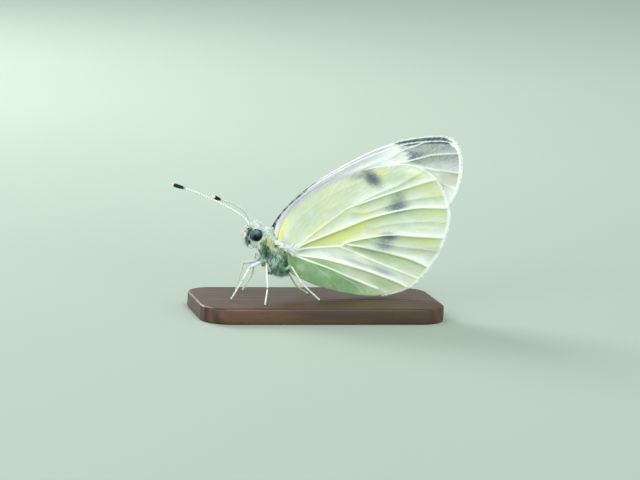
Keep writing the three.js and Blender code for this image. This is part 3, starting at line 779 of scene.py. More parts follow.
def tegula_coat(name_side, side, material):
    """A small cap of fluff over the shoulder."""
    count = 150
    centre = np.array([-5.85, side * 1.55, 9.55])
    out = unit(rng.normal(0, 1, (count, 3)) * (0.8, 0.5, 0.9) + (-0.1, side * 0.8, 0.1))
    roots = centre + out * (0.34, 0.22, 0.42)
    lie = jitter(leaning(out, np.tile([0.5, 0.0, -1.0], (count, 1)), 0.62), 0.2)
    patch = on_unwrap(np.arctan2(out[:, 2], out[:, 0]) / (2 * np.pi) + 0.5, out[:, 1] * 0.4 + 0.5)
    lock_coat("coat_tegula_" + name_side, material, "coat", roots, lie, out, patch,
              rng.uniform(0.25, 0.45, count), 0.022, 6, 0.08, rng.uniform(0.5, 1, count))


def fringe(wing, name_side, side, edge, hub, middle, span, material):
    """Hair-like scales along the outer margin."""
    share = np.sort(rng.uniform(*span, 1500))
    rim = edge.at(share)
    away = unit(rim - hub)
    heading = edge.heading(share)
    square = np.stack([-heading[:, 1], heading[:, 0]], -1)
    away = unit(away * 0.6 + square * np.sign(np.sum(square * away, 1))[:, None])
    y = side * (middle(rim[:, 0], rim[:, 1]) + rng.normal(0, 0.015, len(rim)))
    roots = np.stack([rim[:, 0] - away[:, 0] * 0.06, y, rim[:, 1] - away[:, 1] * 0.06], -1)
    ahead = jitter(np.stack([away[:, 0], 0 * y, away[:, 1]], -1), 0.1)
    out = np.tile([0.0, float(side), 0.0], (len(rim), 1))
    length = 0.26 * rng.uniform(0.6, 1.1, len(rim))
    piece = tuft_mesh(f"coat_{wing}_{name_side}", roots, ahead, out, length, 0.022, on_unwrap(share, 0.5),
                      rng.uniform(0, 1, len(rim)), bend=0.0)
    finished(piece, material, wing)


# Materials.

# The first two tones are painted shade for the troughs below the veins.
PAINTED_FOLD_SHADE, PAINTED_FOLD_SHADE_YELLOW, CLEAR, SPOT = (146, 166, 118), (172, 190, 92), (116, 158, 106), (62, 74, 96)
YELLOW, ORANGE, LILAC = (226, 222, 112), (236, 208, 88), (168, 164, 190)


def colour(red, green, blue):
    """A colour given as it looks, 0 to 255, in the renderer's linear scale."""
    linear = [((c / 255 + 0.055) / 1.055) ** 2.4 if c > 10 else c / 255 / 12.92 for c in (red, green, blue)]
    return (*linear, 1)


class Field:
    """A value or tone that changes over a surface, reckoned with like a plain number."""

    def __init__(self, nodes, socket):
        self.nodes, self.socket = nodes, socket

    def __add__(self, other):
        return self.nodes.math("ADD", self, other)

    def __sub__(self, other):
        return self.nodes.math("SUBTRACT", self, other)

    def __rsub__(self, other):
        return self.nodes.math("SUBTRACT", other, self)

    def __mul__(self, other):
        return self.nodes.math("MULTIPLY", self, other)

    def ramp(self, low, high, to_low=0.0, to_high=1.0):
        """Eased from one range to another, and level beyond it."""
        return self.nodes.field(
            0, "ShaderNodeMapRange", {"interpolation_type": "SMOOTHSTEP"}, (self, low, high, to_low, to_high))


class Nodes:
    """Short names for adding nodes to one tree."""

    def __init__(self, tree):
        self.tree = tree

    def feed(self, socket, value):
        if isinstance(value, Field):
            self.tree.links.new(value.socket, socket)
        else:
            socket.default_value = value

    def fill(self, node, **inputs):
        """Feeds the inputs of these names, with _ for a space."""
        for key, value in inputs.items():
            self.feed(node.inputs[key.replace("_", " ")], value)
        return node

    def add(self, kind, settings=None, values=(), **inputs):
        node = self.tree.nodes.new(kind)
        for key, value in (settings or {}).items():
            setattr(node, key, value)
        for socket, value in zip(node.inputs, values):
            self.feed(socket, value)
        return self.fill(node, **inputs)

    def field(self, output, kind, settings=None, values=(), **inputs):
        """One output of a new node."""
        return Field(self, self.add(kind, settings, values, **inputs).outputs[output])

    def fields(self, node):
        return [Field(self, socket) for socket in node.outputs]

    def value(self, name):
        return self.field("Fac", "ShaderNodeAttribute", {"attribute_name": name})

    def math(self, operation, *values):
        return self.field(0, "ShaderNodeMath", {"operation": operation}, values)

    def mix(self, amount, first, second):
        """The first tone turned into the second, each a field or a colour as it looks."""
        node = self.add("ShaderNodeMix", {"data_type": "RGBA", "clamp_factor": True})
        factor, low, high = node.inputs[0], node.inputs[6], node.inputs[7]
        self.feed(factor, amount)
        for socket, tone in ((low, first), (high, second)):
            self.feed(socket, colour(*tone) if isinstance(tone, tuple) else tone)
        return Field(self, node.outputs[2])

    def paint(self, tone, *layers):
        """The tone with each layer, an amount and a tone, laid over it in turn."""
        for amount, over in layers:
            tone = self.mix(amount, tone, over)
        return tone

    def blob(self, values, centre, reach):
        """1 at the centre, fading to 0 at the given reach along each of the values."""
        parts = [self.math("POWER", self.math("DIVIDE", value - middle, radius), 2.0)
                 for value, middle, radius in zip(values, centre, reach)]
        return (parts[0] + parts[1]).ramp(1.25, 0.0)

    def place(self, scale=(1, 1, 1), rotation=(0, 0, 0)):
        source = self.field("Object", "ShaderNodeTexCoord")
        return self.field(0, "ShaderNodeMapping", Scale=scale, Rotation=rotation, Vector=source)

    def place_mm(self):
        """Where the surface is, as x, y and z in millimetres."""
        return self.fields(self.add("ShaderNodeSeparateXYZ", Vector=self.place((1000, 1000, 1000))))

    def noise(self, scale, detail=3.0, vector=None):
        return self.field("Fac", "ShaderNodeTexNoise", Scale=scale, Detail=detail, Roughness=0.55,
                          Vector=vector or self.place())

    def cells(self, feature, scale, randomness, vector=None):
        return self.field("Distance", "ShaderNodeTexVoronoi", {"feature": feature}, Scale=scale,
                          Randomness=randomness, Vector=vector or self.place())

    def group(self, tree):
        node = self.add("ShaderNodeGroup", {"node_tree": tree})
        return dict(zip(node.outputs.keys(), self.fields(node)))

    def bump(self, height, strength, distance):
        return self.field("Normal", "ShaderNodeBump", Strength=strength, Distance=distance, Height=height)

    def surface(self, tone, roughness, **inputs):
        self.fill(self.tree.nodes["Principled BSDF"], Base_Color=tone, Roughness=roughness, **inputs)


def new_group(name, *outputs):
    """The nodes of an empty group whose outputs have these names."""
    group = bpy.data.node_groups.new(name, "ShaderNodeTree")
    for output in outputs:
        kind = "NodeSocketColor" if output == "Color" else "NodeSocketFloat"
        group.interface.new_socket(output, in_out="OUTPUT", socket_type=kind)
    group.nodes.new("NodeGroupInput")
    return Nodes(group)


def new_material(name):
    material = bpy.data.materials.new(name)
    material.use_nodes = True
    return material, Nodes(material.node_tree)


def scale_rows_group():
    """Rows of tiny wing scales: a height and a slow change of tone."""
    nodes = new_group("scale_rows", "Height", "Tone")
    cells = nodes.cells("F1", 1.0, 0.8, nodes.place((6000, 6000, 11000), (0, math.radians(24), 0)))
    nodes.add("NodeGroupOutput", Height=1.0 - cells, Tone=nodes.noise(900, 4.0))
    return nodes.tree


def wing_material(name, scale_rows, tint, blue_tint):
    material, nodes = new_material(name)
    fine, mottles, rows = nodes.noise(5200), nodes.noise(620, 4.0), nodes.group(scale_rows)
    spoke, reach = nodes.value("spoke"), nodes.value("reach")
    along_spokes = nodes.field(0, "ShaderNodeCombineXYZ", X=spoke * 90.0, Y=reach * 0.45)
    streaks = nodes.noise(1.0, vector=along_spokes)
    fan = streaks.ramp(0.3, 0.7, -1.0, 1.0)
    fold, yellow, dark = nodes.value("fold"), nodes.value("yellow"), nodes.value("dark")

    glassy = mottles.ramp(0.45, 0.7, 0.9, 0.62) + fan * 0.06
    blue = nodes.value("blue") * (fine.ramp(0.3, 0.7, -0.14, 0.14) - fan * 0.14 + 0.92)
    grain = fine.ramp(0.25, 0.75, -0.08, 0.08) * dark.ramp(0.0, 0.3)
    near_base = reach.ramp(13.0, 6.0) * spoke.ramp(0.1, 0.3)
    tone = nodes.paint(
        nodes.mix(nodes.noise(420), *tint),
        (streaks.ramp(0.42, 0.68, 0.0, 0.4), (240, 246, 234)),
        (streaks.ramp(0.42, 0.3, 0.0, 0.25), (206, 216, 160)),
        (mottles.ramp(0.5, 0.72, 0.0, 0.5), (220, 230, 234)),
        (mottles.ramp(0.46, 0.3, 0.0, 0.3), (216, 226, 158)),
        # Painted highlight on the ridge above each vein.
        (nodes.value("crest") * 0.95, (248, 252, 252)),
        (yellow * 0.75, nodes.mix(yellow.ramp(0.9, 1.25), YELLOW, ORANGE)),
        # Painted shade in the trough below each vein, yellower on the yellow parts.
        (fold * (fan * 0.16 + 1.0), nodes.mix(yellow, PAINTED_FOLD_SHADE, PAINTED_FOLD_SHADE_YELLOW)),
        # Painted green light through the thin parts of the wing.
        (nodes.value("clear") * glassy, CLEAR),
        (nodes.value("lilac") * streaks.ramp(0.3, 0.6, 0.95, 0.6), LILAC),
        # On the forewing this is the grey of the apex; on the hindwing it is the painted shadow of the
        # abdomen seen through the wing.
        (blue, blue_tint),
        # More painted trough shade where the wing is grey-blue.
        (blue * fold * 0.6, (104, 116, 114)),
        (nodes.value("brown") * 0.5, (158, 152, 132)),
        # Dark marks: the forewing's own spots and bands, and on the hindwing the painted shade of spots
        # behind it.
        ((dark + grain).ramp(0.02, 0.98), SPOT),
        (nodes.value("rim").ramp(0.0, 0.8, 0.0, 0.92), (250, 252, 248)),
        (nodes.value("vein").ramp(0.12, 0.95), nodes.mix(near_base, (250, 254, 240), (244, 244, 184))),
        (rows["Tone"].ramp(0.3, 0.7, 0.0, 0.1), (178, 194, 166)))
    nodes.surface(tone, 0.62, Normal=nodes.bump(rows["Height"] + fine * 0.8, 0.4, 0.00004),
                  Sheen_Weight=0.1, Specular_IOR_Level=0.2)
    return material


# Marks on the trunk as s and n of the middle, half sizes, colour and how few white hairs stand over them.
BODY_MARKS = [
    # The olive and dark teal marks behind and below the head, and the green mark under the rear of the
    # thorax, are partly the dark skin there and partly painted shade, with painted green light from the
    # surroundings in their greens.
    ((0.1, 0.6), (1.3, 0.6), (240, 248, 226), 0.0), ((-1.85, 0.3), (0.7, 0.85), (88, 132, 46), 0.7),
    ((-1.65, -0.05), (0.35, 0.45), (52, 94, 36), 0.8),
    ((-1.75, 1.2), (0.5, 0.4), (214, 214, 146), 0.35), ((-1.2, 0.8), (0.5, 0.45), (222, 230, 186), 0.1),
    ((-1.25, -0.6), (0.8, 0.8), (20, 70, 50), 0.92), ((-0.95, -1.35), (0.45, 0.45), (130, 146, 150), 0.3),
    ((0.85, 0.24), (0.28, 0.22), (78, 100, 120), 0.85), ((-0.7, 0.73), (0.18, 0.18), (120, 140, 136), 0.6),
    ((1.1, -1.85), (1.0, 0.6), (62, 150, 82), 0.7), ((-3.95, 0.0), (0.32, 0.6), (12, 18, 22), 1.0),
    ((-4.3, 1.15), (0.55, 0.72), (60, 86, 94), 0.95), ((1.7, -0.4), (0.5, 0.95), (166, 198, 172), 0.85)]


def body_markings_group():
    """Colour of the trunk at each place, the same for the skin and the coat on it."""
    nodes = new_group("body_markings", "Color", "Streak", "White")
    x, y, z = nodes.place_mm()
    s, n = trunk_place(x, z)
    patchy = nodes.noise(900)
    # Darker and greener toward the underside: painted shade beneath the thorax, with painted green light from
    # the surroundings.
    thorax = nodes.paint(
        nodes.mix(patchy, (206, 222, 184), (232, 242, 214)), (n.ramp(0.1, -0.9), (132, 184, 160)),
        (n.ramp(-1.5, -2.4), (64, 138, 88)), (n.ramp(1.2, 2.0), (228, 236, 230)))
    head = nodes.mix(patchy, (250, 253, 248), (228, 238, 230))
    head = nodes.mix(n.ramp(1.0, 0.2, 0.0, 0.75), head, (166, 200, 190))
    rings = nodes.math("SINE", s * (2 * math.pi)).ramp(0.4, 1.0)
    abdomen = nodes.mix(n.ramp(-0.2, 0.5), (226, 232, 210), (122, 132, 132))
    abdomen = nodes.mix(rings * 0.25, abdomen, (90, 98, 96))
    tone = nodes.paint(head, (s.ramp(-2.75, -2.25), thorax), (s.ramp(1.9, 2.6), abdomen))

    bare = 0.0
    ragged_s = s + nodes.noise(1100).ramp(0.2, 0.8, -0.32, 0.32)
    ragged_n = n + nodes.noise(1450).ramp(0.2, 0.8, -0.38, 0.38)
    for middle, size, tint, depth in BODY_MARKS:
        spot = nodes.blob((ragged_s, ragged_n), middle, size)
        tone = nodes.mix(spot, tone, tint)
        bare = nodes.math("MAXIMUM", bare, spot * depth)

    side = s.ramp(-1.6, -0.8) * s.ramp(2.4, 1.6)
    grain = nodes.field(0, "ShaderNodeCombineXYZ", X=s * 2.6 - n * 0.45, Y=y * 1.3, Z=n * 0.55)
    strand = nodes.noise(1.0, vector=grain).ramp(0.47, 0.58) * side * n.ramp(0.3, -0.5)
    flank = s.ramp(-2.7, -2.2) * n.ramp(1.6, 1.1)
    covered = nodes.math("MAXIMUM", bare, strand * 0.85)
    nodes.add("NodeGroupOutput", Color=nodes.mix(strand * 0.66, tone, (60, 112, 98)),
              Streak=side * n.ramp(0.6, -0.6, 0.1, 1.0) * (1.0 - bare),
              White=(1.0 - flank * 0.5) * (1.0 - covered))
    return nodes.tree


def skin_material(markings):
    material, nodes = new_material("skin")
    marks, fine = nodes.group(markings), nodes.noise(4200, 4.0)
    tone = nodes.paint(marks["Color"], (fine.ramp(0.2, 0.8, 0.0, 0.35), (120, 136, 132)),
                       (marks["Streak"] * 0.25, (84, 112, 106)))
    nodes.surface(tone, 0.7, Normal=nodes.bump(fine, 0.6, 0.00006))
    return material


def coat_material(name, markings):
    material, nodes = new_material(name)
    marks, shade = nodes.group(markings), nodes.value("shade")
    nodes.surface(nodes.paint(
        marks["Color"], (shade.ramp(0.4, 0.8, 0.0, 0.9) * marks["White"], (246, 255, 251)),
        (shade.ramp(0.42, 0.2, 0.0, 0.9) * marks["Streak"], (54, 106, 94)),
        (nodes.value("tip").ramp(0.0, 0.5, 0.12, 0.0), (130, 146, 138)),
        (nodes.noise(6000, 2.0) * 0.06, (150, 160, 150))), 0.5)
    return material


def hair_material(name, first, second, dark_share):
    """Hair and scales of one tone, from root to tip, some of them dark."""
    material, nodes = new_material(name)
    shade = nodes.value("shade")
    nodes.surface(nodes.paint(
        nodes.mix(shade, first, second), (nodes.value("tip").ramp(0.0, 0.6, 0.12, 0.0), (150, 162, 152)),
        (shade.ramp(1 - dark_share - 0.02, 1 - dark_share, 0.0, 0.85), (44, 58, 62)),
        (nodes.noise(5000, 2.0) * 0.1, (150, 160, 150))), 0.55)
    return material


def eye_material():
    """A faceted dome with dark spots, paler above as a painted sheen of light from above and nearly black
    below as painted shade.
    """
    material, nodes = new_material("compound_eye")
    facets, spots = nodes.cells("DISTANCE_TO_EDGE", 27000.0, 0.2), nodes.cells("F1", 2100.0, 0.8)
    x, _, z = nodes.place_mm()
    height = z + nodes.noise(2300, 2.0) * 0.5
    tone = nodes.paint(
        # Painted sheen toward the top, painted shade toward the bottom.
        nodes.mix(height.ramp(10.1, 11.0), (2, 18, 20), (100, 134, 148)),
        (x.ramp(-8.0, -7.4, 0.0, 0.75), (22, 36, 70)), (x.ramp(-8.35, -8.85, 0.0, 0.6), (104, 130, 130)),
        (spots.ramp(0.42, 0.24, 0.0, 0.9), (4, 8, 14)), (facets.ramp(0.0, 0.1, 0.25, 0.0), (8, 12, 16)))
    nodes.surface(tone, 0.25, Normal=nodes.bump(facets.ramp(0.0, 0.16), 0.3, 0.000015),
                  Specular_IOR_Level=0.2, Coat_Weight=0.1, Coat_Roughness=0.08)
    return material


def antenna_material():
    """Pale scales with dark rings, a black club and a cream tip, laid out by the length along the shaft."""
    material, nodes = new_material("antenna")
    along, fine = nodes.value("along"), nodes.noise(5200)
    tone = nodes.paint(
        nodes.mix(fine, (250, 253, 248), (222, 232, 218)),
        ((nodes.value("ring") + fine * 0.3).ramp(0.75, 1.2, 0.0, 0.6), (96, 112, 96)),
        (along.ramp(0.83, 0.875), (26, 25, 22)), (along.ramp(0.972, 0.988), (240, 232, 204)))
    nodes.surface(tone, 0.5, Normal=nodes.bump(fine, 0.4, 0.00003), Specular_IOR_Level=0.2)
    return material


def leg_material():
    material, nodes = new_material("leg")
    fine = nodes.noise(5200, 4.0)
    tone = nodes.paint(
        nodes.mix(nodes.noise(1300, 2.0), (244, 249, 240), (214, 228, 208)),
        # The pale yellow layer on the far legs is a painted glow of light through them.
        (nodes.value("thigh"), (206, 222, 234)), (nodes.value("amber"), (254, 255, 190)),
        (nodes.value("joint").ramp(0.3, 0.9, 0.0, 0.35), (150, 160, 120)),
        (fine.ramp(0.66, 0.76, 0.0, 0.4), (104, 112, 106)), (nodes.value("hip"), (112, 142, 134)))
    nodes.surface(tone, 0.55, Normal=nodes.bump(fine, 0.6, 0.00005))
    return material


def horn_material(name, first, second, roughness):
    material, nodes = new_material(name)
    fine = nodes.noise(3800)
    nodes.surface(nodes.mix(fine, first, second), roughness, Normal=nodes.bump(fine, 0.3, 0.00004))
    return material


def wood_material():
    material, nodes = new_material("base_wood")
    warped = nodes.noise(90)
    lines = nodes.field(
        "Fac", "ShaderNodeTexWave", {"wave_type": "BANDS", "bands_direction": "Y"}, Scale=260.0,
        Distortion=6.0, Detail=3.0, Detail_Scale=1.2, Vector=nodes.place((0.18, 1, 1)))
    pores = nodes.noise(1.0, 2.0, nodes.place((900, 9000, 9000)))
    tone = nodes.paint(
        nodes.mix(lines, (58, 38, 27), (96, 66, 46)), (warped.ramp(0.3, 0.7, 0.0, 0.5), (72, 48, 34)),
        (pores.ramp(0.62, 0.72, 0.0, 0.55), (30, 20, 15)))
    nodes.surface(tone, warped.ramp(0.3, 0.7, 0.38, 0.5), Normal=nodes.bump(lines - pores, 0.25, 0.00006))
    return material


# Pieces.

def make_base():
    deselect()
    bpy.ops.mesh.primitive_cube_add(size=1, location=(0, 0, BASE_HEIGHT / 2 * MM))
    piece = just_added("base_block")
    piece.scale = (BASE_LENGTH * MM, BASE_WIDTH * MM, BASE_HEIGHT * MM)
    bpy.ops.object.transform_apply(location=True, rotation=True, scale=True)
    corners = piece.data.vertices
    with editing():
        bpy.ops.mesh.select_mode(type="EDGE")
        bpy.ops.mesh.select_all(action="DESELECT")
    for edge in piece.data.edges:
        low, high = (corners[index].co.z for index in edge.vertices)
        edge.select = abs(high - low) > MM
    bpy.ops.object.mode_set(mode="EDIT")
    bpy.ops.mesh.bevel(offset=BASE_CORNER * MM, segments=12, affect="EDGES")
    bpy.ops.mesh.select_all(action="SELECT")
    bpy.ops.object.mode_set(mode="OBJECT")
    bevel = piece.modifiers.new("edge", "BEVEL")
    bevel.width, bevel.segments, bevel.angle_limit = BASE_BEVEL * MM, 4, math.radians(50)
    bpy.ops.object.modifier_apply(modifier="edge")
    bpy.ops.object.shade_smooth_by_angle(angle=math.radians(30))
    finished(piece, wood_material(), "base_wood", "stand_base")


def make_skin(material):
    """One closed body under the hair: head, thorax and abdomen."""

    def place(u, v):
        s = FACE + (TIP - FACE) * v
        pinch = smooth_step(0, 0.006, v) * smooth_step(0, 0.004, 1 - v)
        depth = coat_depth(s)
        points = trunk_surface(s, 2 * np.pi * u, depth)
        top, bottom, _ = section(s)
        axis = trunk_point(s, 0 * s, (top + bottom) / 2)
        rings = 0.03 * np.sin(np.pi * 2 * (s - WAIST) / 1.0) * smooth_step(2.8, 3.4, s)
        return axis + (points - axis) * (pinch * (1 + rings))[:, None]

    piece = shaped_grid("skin", 72, 200, place)
    unwrap = piece.data.uv_layers.new(name="OFBake")
    points = read_points(piece) / MM
    s, n = trunk_place(points[:, 0], points[:, 2])
    top, bottom, _ = section(np.clip(s, FACE, TIP))
    turn = np.arctan2(points[:, 1], n - (top + bottom) / 2) / (2 * np.pi) % 1
    corners = read_values(piece.data.loops, "vertex_index", np.int32)
    u = turn[corners]
    counts = read_values(piece.data.polygons, "loop_total", np.int32)
    face = np.repeat(np.arange(len(counts)), counts)
    low = np.full(len(counts), 2.0)
    np.minimum.at(low, face, u)
    high = np.zeros(len(counts))
    np.maximum.at(high, face, u)
    u = np.where(((high - low)[face] > 0.5) & (u < 0.5), u + 1, u)
    v = (s - FACE) / (TIP - FACE)
    unwrap.data.foreach_set("uv", on_unwrap(u * 0.95, v[corners]).astype(np.float32).ravel())
    finished(piece, material, "coat", "head", "prothorax", "thorax", "abdomen")


def make_eye(side_name, side, material):
    deselect()
    bpy.ops.mesh.primitive_uv_sphere_add(
        segments=64, ring_count=40, radius=EYE["radius"] * MM,
        location=eye_centre(side) * MM, rotation=(math.radians(90), 0, 0))
    piece = just_added("eye_dome_" + side_name)
    bpy.ops.object.transform_apply(location=True, rotation=True, scale=True)
    with editing():
        bpy.ops.mesh.bisect(plane_co=(0, side * 0.22 * MM, 0), plane_no=(0, side, 0), clear_inner=True,
                            use_fill=True)
        bpy.ops.mesh.select_all(action="SELECT")
        bpy.ops.mesh.normals_make_consistent(inside=False)
    bpy.ops.object.shade_smooth_by_angle(angle=math.radians(40))
    finished(piece, material, "eye", "eye_" + side_name)


def make_palp(side_name, side, material, scales):
    route = [(x, side * y, z) for x, y, z in PALP_ROUTE]
    piece = tube("palp_" + side_name + "_core", route, lambda v: 0.15 + 0.09 * np.sin(np.pi * v) - 0.06 * v)
    finished(piece, material, "palp", "palp_" + side_name)
    line = Route(route)
    count = 520
    share, turn = rng.uniform(0.05, 0.97, count), rng.uniform(0, 2 * np.pi, count)
    ahead = line.heading(share)
    out = around(ahead, (0, 1.0, 0), turn)
    roots = line.at(share) + out * (0.13 + 0.09 * np.sin(np.pi * share) - 0.06 * share)[:, None]
    lie = jitter(unit(ahead + out * 0.5), 0.12)
    dark = (out[:, 1] * side > -0.1) & (out[:, 0] > -0.4) & (share > 0.25) & (share < 0.78)
    shade = np.where(dark, rng.uniform(0.95, 1, count), rng.uniform(0, 0.9, count))
    hairs = tuft_mesh("coat_palp_" + side_name, roots, lie, out, rng.uniform(0.25, 0.42, count), 0.026,
                      on_unwrap(turn / (2 * np.pi), share), shade)
    finished(hairs, scales, "palp")


def make_proboscis(material):
    turns = np.linspace(0, 1, 60)
    coil = PROBOSCIS["coil"] * (1 - 0.62 * turns)
    angle = np.pi * 0.5 + 2 * np.pi * PROBOSCIS["turns"] * turns
    x, z = PROBOSCIS["x"] - coil * np.cos(angle), PROBOSCIS["z"] + coil * np.sin(angle)
    points = np.stack([x, 0 * x, z], -1)
    piece = tube("proboscis_spiral", points, lambda v: PROBOSCIS["radius"] * (1 - 0.35 * v), 10, 150,
                 guide=(0, 1, 0))
    finished(piece, material, "proboscis", "proboscis")


def make_antenna(side_name, material):
    """A ringed shaft that swells into a club."""
    count = 34
    line = Route(ANTENNA_ROUTES[side_name])

    def radius(v):
        shaft = 0.1 + 0.012 * np.cos(2 * np.pi * v * count) + 0.06 * np.exp(-((v / 0.025) ** 2))
        club = (smooth_step(0.79, 0.93, v) - 0.3 * smooth_step(0.95, 1.0, v)) * 0.135
        return shaft + club

    piece = tube("antenna_shaft_" + side_name, ANTENNA_ROUTES[side_name], radius, 14, 260, blunt=0.018)
    shares = np.linspace(0, 1, 400)
    gaps = ((read_points(piece)[:, None] / MM - line.at(shares)[None]) ** 2).sum(-1)
    along = shares[gaps.argmin(1)]
    ring = 0.5 + 0.5 * np.cos(2 * np.pi * (along * count + 0.35))
    give_values(piece, along=along, ring=ring * smooth_step(0.03, 0.06, along))
    finished(piece, material, "antenna", "antenna_" + side_name, "antenna_club_" + side_name)


LEG_GUIDE = (0.2, 1, 0.1)
LEG_RADII = [(0.3, 0.2), (0.16, 0.13), (0.11, 0.11)]  # coxa, femur and tibia, at the start and the end
TOE_STOPS = [0, 0.42, 0.6, 0.74, 0.86, 1.0]


def make_leg(name, points, material, claw, scales):
    """Coxa, femur, tibia and a foot of five short joints, with claws."""
    corners = np.array(points)
    fore, hind = "fore" in name, "hind" in name
    parts = []
    for i, (low, high) in enumerate(LEG_RADII):
        a, b = corners[i], corners[i + 1]
        femur = i == 1
        bulge = (0.08 if fore else 0.04) if femur else 0.01

        def radius(v, low=low, high=high, bulge=bulge):
            return low + (high - low) * v + bulge * np.sin(np.pi * v)

        part = tube(f"leg_{name}_part_{i}", [a, (a + b) / 2, b], radius, 14, 22, blunt=0.08, guide=LEG_GUIDE)
        ones = np.ones(len(part.data.vertices))
        give_values(part, hip=ones * (0.8 * (i == 0) + 0.65 * (femur and hind)),
                    thigh=ones * 0.8 * (femur and not hind))
        parts.append(part)
    ankle, foot = corners[3], corners[4]
    for i, (start, stop) in enumerate(zip(TOE_STOPS, TOE_STOPS[1:])):
        a, b = ankle + (foot - ankle) * start, ankle + (foot - ankle) * stop
        parts.append(tube(f"leg_{name}_toe_{i}", [a, (a + b) / 2, b], lambda v: 0.082 + 0.024 * v, 12, 12,
                          blunt=0.16, guide=LEG_GUIDE))
    piece = joined("leg_" + name, parts)
    places = read_points(piece) / MM
    near = np.min(np.linalg.norm(places[:, None] - corners[None, 1:4], axis=2), axis=1)
    depth = 0.25 if fore else 0.8
    knee = corners[2, 2]
    # The far legs are painted pale yellow below the knee: a painted glow of light through them, stronger on
    # the mid and hind legs.
    amber = depth * name.endswith("right") * smooth_step(knee + 0.1, knee - 0.6, places[:, 2])
    give_values(piece, joint=smooth_step(0.45, 0.1, near), amber=amber)
    finished(piece, material, "leg", *[part + name for part in ("coxa_", "femur_", "tibia_", "tarsus_")])
    make_claws("claws_" + name, foot, unit(foot - ankle), claw)
    leg_scales("coat_leg_" + name, corners, scales)


def hip_coat(name, points, material):
    """Locks that hang over the hip joint of a leg."""
    count = 150
    a, b = np.array(points[:2])
    share, turn = rng.uniform(0.1, 1.0, count), rng.uniform(0, 2 * np.pi, count)
    ahead = unit(b - a)
    out = around(ahead, LEG_GUIDE, turn)
    roots = a + (b - a) * share[:, None] + out * (0.28 - 0.1 * share)[:, None]
    lie = jitter(leaning(out, np.tile(ahead + (0, 0, -0.5), (count, 1)), 0.72), 0.12)
    lock_coat("coat_hip_" + name, material, "leg", roots, lie, out, on_unwrap(turn / (2 * np.pi), share),
              rng.uniform(0.3, 0.55, count), 0.022, 6, 0.08, rng.uniform(0, 1, count))


def make_claws(name, foot, ahead, material):
    forward = unit(np.array([ahead[0], ahead[1], 0.0]))
    across = np.array([-forward[1], forward[0], 0.0])
    claws = []
    for way in (-1, 1):
        tip_way = forward + across * way * 0.55
        start = foot + (0, 0, 0.03)
        points = [start, start + tip_way * 0.12, start + tip_way * 0.2 + (0, 0, -0.07)]
        claws.append(tube(f"{name}_{way + 1}", points, lambda v: 0.045 - 0.03 * v, 8, 10, blunt=0.1))
    finished(joined(name, claws), material, "leg")


def leg_scales(name, corners, material):
    roots, lies, outs, patches_at = [], [], [], []
    for i, (low, high) in enumerate([*LEG_RADII, (0.082, 0.106)]):
        a, b = corners[i], corners[i + 1]
        count = int(np.linalg.norm(b - a) * 110)
        share, turn = rng.uniform(0.03, 0.97, count), rng.uniform(0, 2 * np.pi, count)
        ahead = unit(b - a)
        out = around(ahead, LEG_GUIDE, turn)
        radius = low + (high - low) * share + (0.05 * np.sin(np.pi * share) if i == 1 else 0)
        roots.append(a + (b - a) * share[:, None] + out * (radius - 0.012)[:, None])
        lies.append(jitter(unit(ahead + out * (0.22 if i < 2 else 0.12)), 0.08))
        outs.append(out)
        patches_at.append(on_unwrap(turn / (2 * np.pi), (i + share) / 4))
    length = np.concatenate([
        rng.uniform(0.14, 0.3, len(part)) * (1 if i < 2 else 0.6) for i, part in enumerate(roots)])
    piece = tuft_mesh(name, np.vstack(roots), np.vstack(lies), np.vstack(outs), length, 0.02,
                      np.vstack(patches_at), rng.uniform(0, 1, len(length)))
    finished(piece, material, "leg")


# Room, camera and light.

def make_floor():
    deselect()
    bpy.ops.mesh.primitive_plane_add(size=4, location=(0, 0, 0))
    floor = just_added("floor")
    material, nodes = new_material("floor")
    nodes.surface(nodes.mix(nodes.noise(9, 2.0), (166, 178, 167), (172, 184, 173)), 0.95)
    floor.data.materials.append(material)


CAMERA_TARGET = Vector((0.258, 0.0, 9.35)) * MM
CAMERA_TURN, CAMERA_RISE, CAMERA_ROLL = math.radians(13), math.radians(9.5), math.radians(2.5)
CAMERA_DISTANCE, CAMERA_LENS = 0.4, 180


def make_camera():
    flat = math.cos(CAMERA_RISE)
    ahead = Vector((math.sin(CAMERA_TURN) * flat, math.cos(CAMERA_TURN) * flat, -math.sin(CAMERA_RISE)))
    level = Vector((math.cos(CAMERA_TURN), -math.sin(CAMERA_TURN), 0))
    upright = level.cross(ahead)
    right = level * math.cos(CAMERA_ROLL) + upright * math.sin(CAMERA_ROLL)
    up = upright * math.cos(CAMERA_ROLL) - level * math.sin(CAMERA_ROLL)
    data = bpy.data.cameras.new("camera")
    data.lens, data.sensor_width = CAMERA_LENS, 36
    data.clip_start, data.clip_end = 0.01, 10
    camera = new_object("camera", data)
    turned = Matrix((right, up, -ahead)).transposed().to_4x4()
    camera.matrix_world = Matrix.Translation(CAMERA_TARGET - ahead * CAMERA_DISTANCE) @ turned
    bpy.context.scene.camera = camera


def add_light(kind, name, place, power, tone, **settings):
    data = bpy.data.lights.new(name, kind)
    data.energy, data.color = power, tone
    for key, value in settings.items():
        setattr(data, key, value)
    light = new_object(name, data)
    light.location = place
    light.rotation_euler = (CAMERA_TARGET - Vector(place)).to_track_quat("-Z", "Y").to_euler()


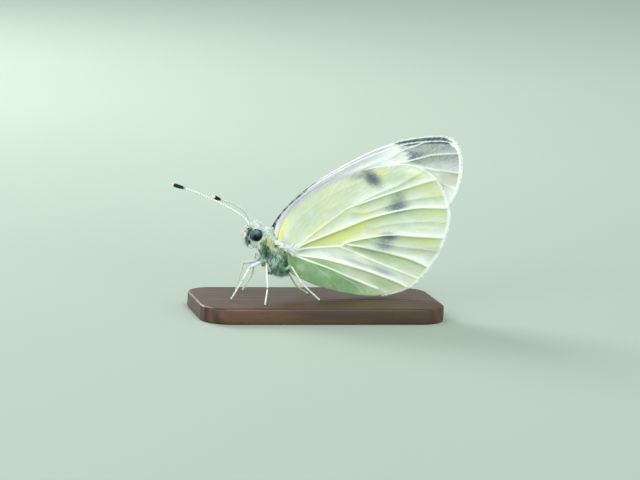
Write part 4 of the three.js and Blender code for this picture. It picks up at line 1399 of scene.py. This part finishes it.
def make_light():
    bpy.context.scene.view_settings.view_transform = "Standard"
    world = bpy.data.worlds.new("world")
    bpy.context.scene.world = world
    world.use_nodes = True
    background = world.node_tree.nodes["Background"]
    background.inputs["Color"].default_value = colour(219, 232, 225)
    background.inputs["Strength"].default_value = 0.71
    add_light("SUN", "key", (0.12, -1.0, 1.2), 1.45, (0.99, 1, 0.97), angle=math.radians(32))
    add_light("AREA", "fill", (-0.3, -0.25, 0.12), 0.55, (0.95, 1, 0.98), size=0.2)
    add_light("AREA", "low", (0.22, -0.35, 0.06), 0.42, (0.94, 1, 0.95), size=0.2)
    add_light("AREA", "back", (-0.15, 0.3, 0.2), 1.1, (0.97, 1, 0.99), size=0.2)


make_camera()
make_light()
make_floor()
make_base()

scale_rows = scale_rows_group()
markings = body_markings_group()
forewing_looks = wing_material("forewing", scale_rows, ((242, 244, 246), (224, 228, 232)), (98, 108, 118))
hindwing_looks = wing_material("hindwing", scale_rows, ((206, 213, 190), (184, 197, 172)), (100, 122, 142))
coat_looks = coat_material("coat", markings)
white_hair = hair_material("white_hair", (253, 255, 252), (232, 240, 230), 0.06)
leg_hair = hair_material("leg_scales", (252, 255, 248), (226, 236, 220), 0.05)
eye_looks, antenna_looks, leg_looks = eye_material(), antenna_material(), leg_material()
claw_looks = horn_material("claw", (40, 32, 26), (22, 18, 16), 0.35)

make_skin(skin_material(markings))
head_coat(coat_looks)
eye_ring_coat(coat_looks)
thorax_coat(coat_looks)
collar_coat(coat_looks)
abdomen_coat(coat_looks)
make_proboscis(horn_material("proboscis", (188, 200, 170), (150, 158, 128), 0.45))
palp_looks = horn_material("palp", (206, 212, 200), (150, 158, 148), 0.6)
for side_name, side in SIDES.items():
    make_eye(side_name, side, eye_looks)
    make_palp(side_name, side, palp_looks, white_hair)
    make_antenna(side_name, antenna_looks)
    forewing = make_forewing(side_name, side, forewing_looks)
    hindwing = make_hindwing(side_name, side, hindwing_looks)
    wing_root_coat(side_name, side, white_hair)
    wing_joint_coat(side_name, side, white_hair)
    tegula_coat(side_name, side, coat_looks)
    fringe("forewing", side_name, side, *forewing, forewing_middle, (0.33, 0.64), white_hair)
    fringe("hindwing", side_name, side, *hindwing, hindwing_middle, (0.36, 0.72), white_hair)
for name, points in LEG_ROUTES.items():
    make_leg(name, points, leg_looks, claw_looks, leg_hair)
    hip_coat(name, points, coat_looks)
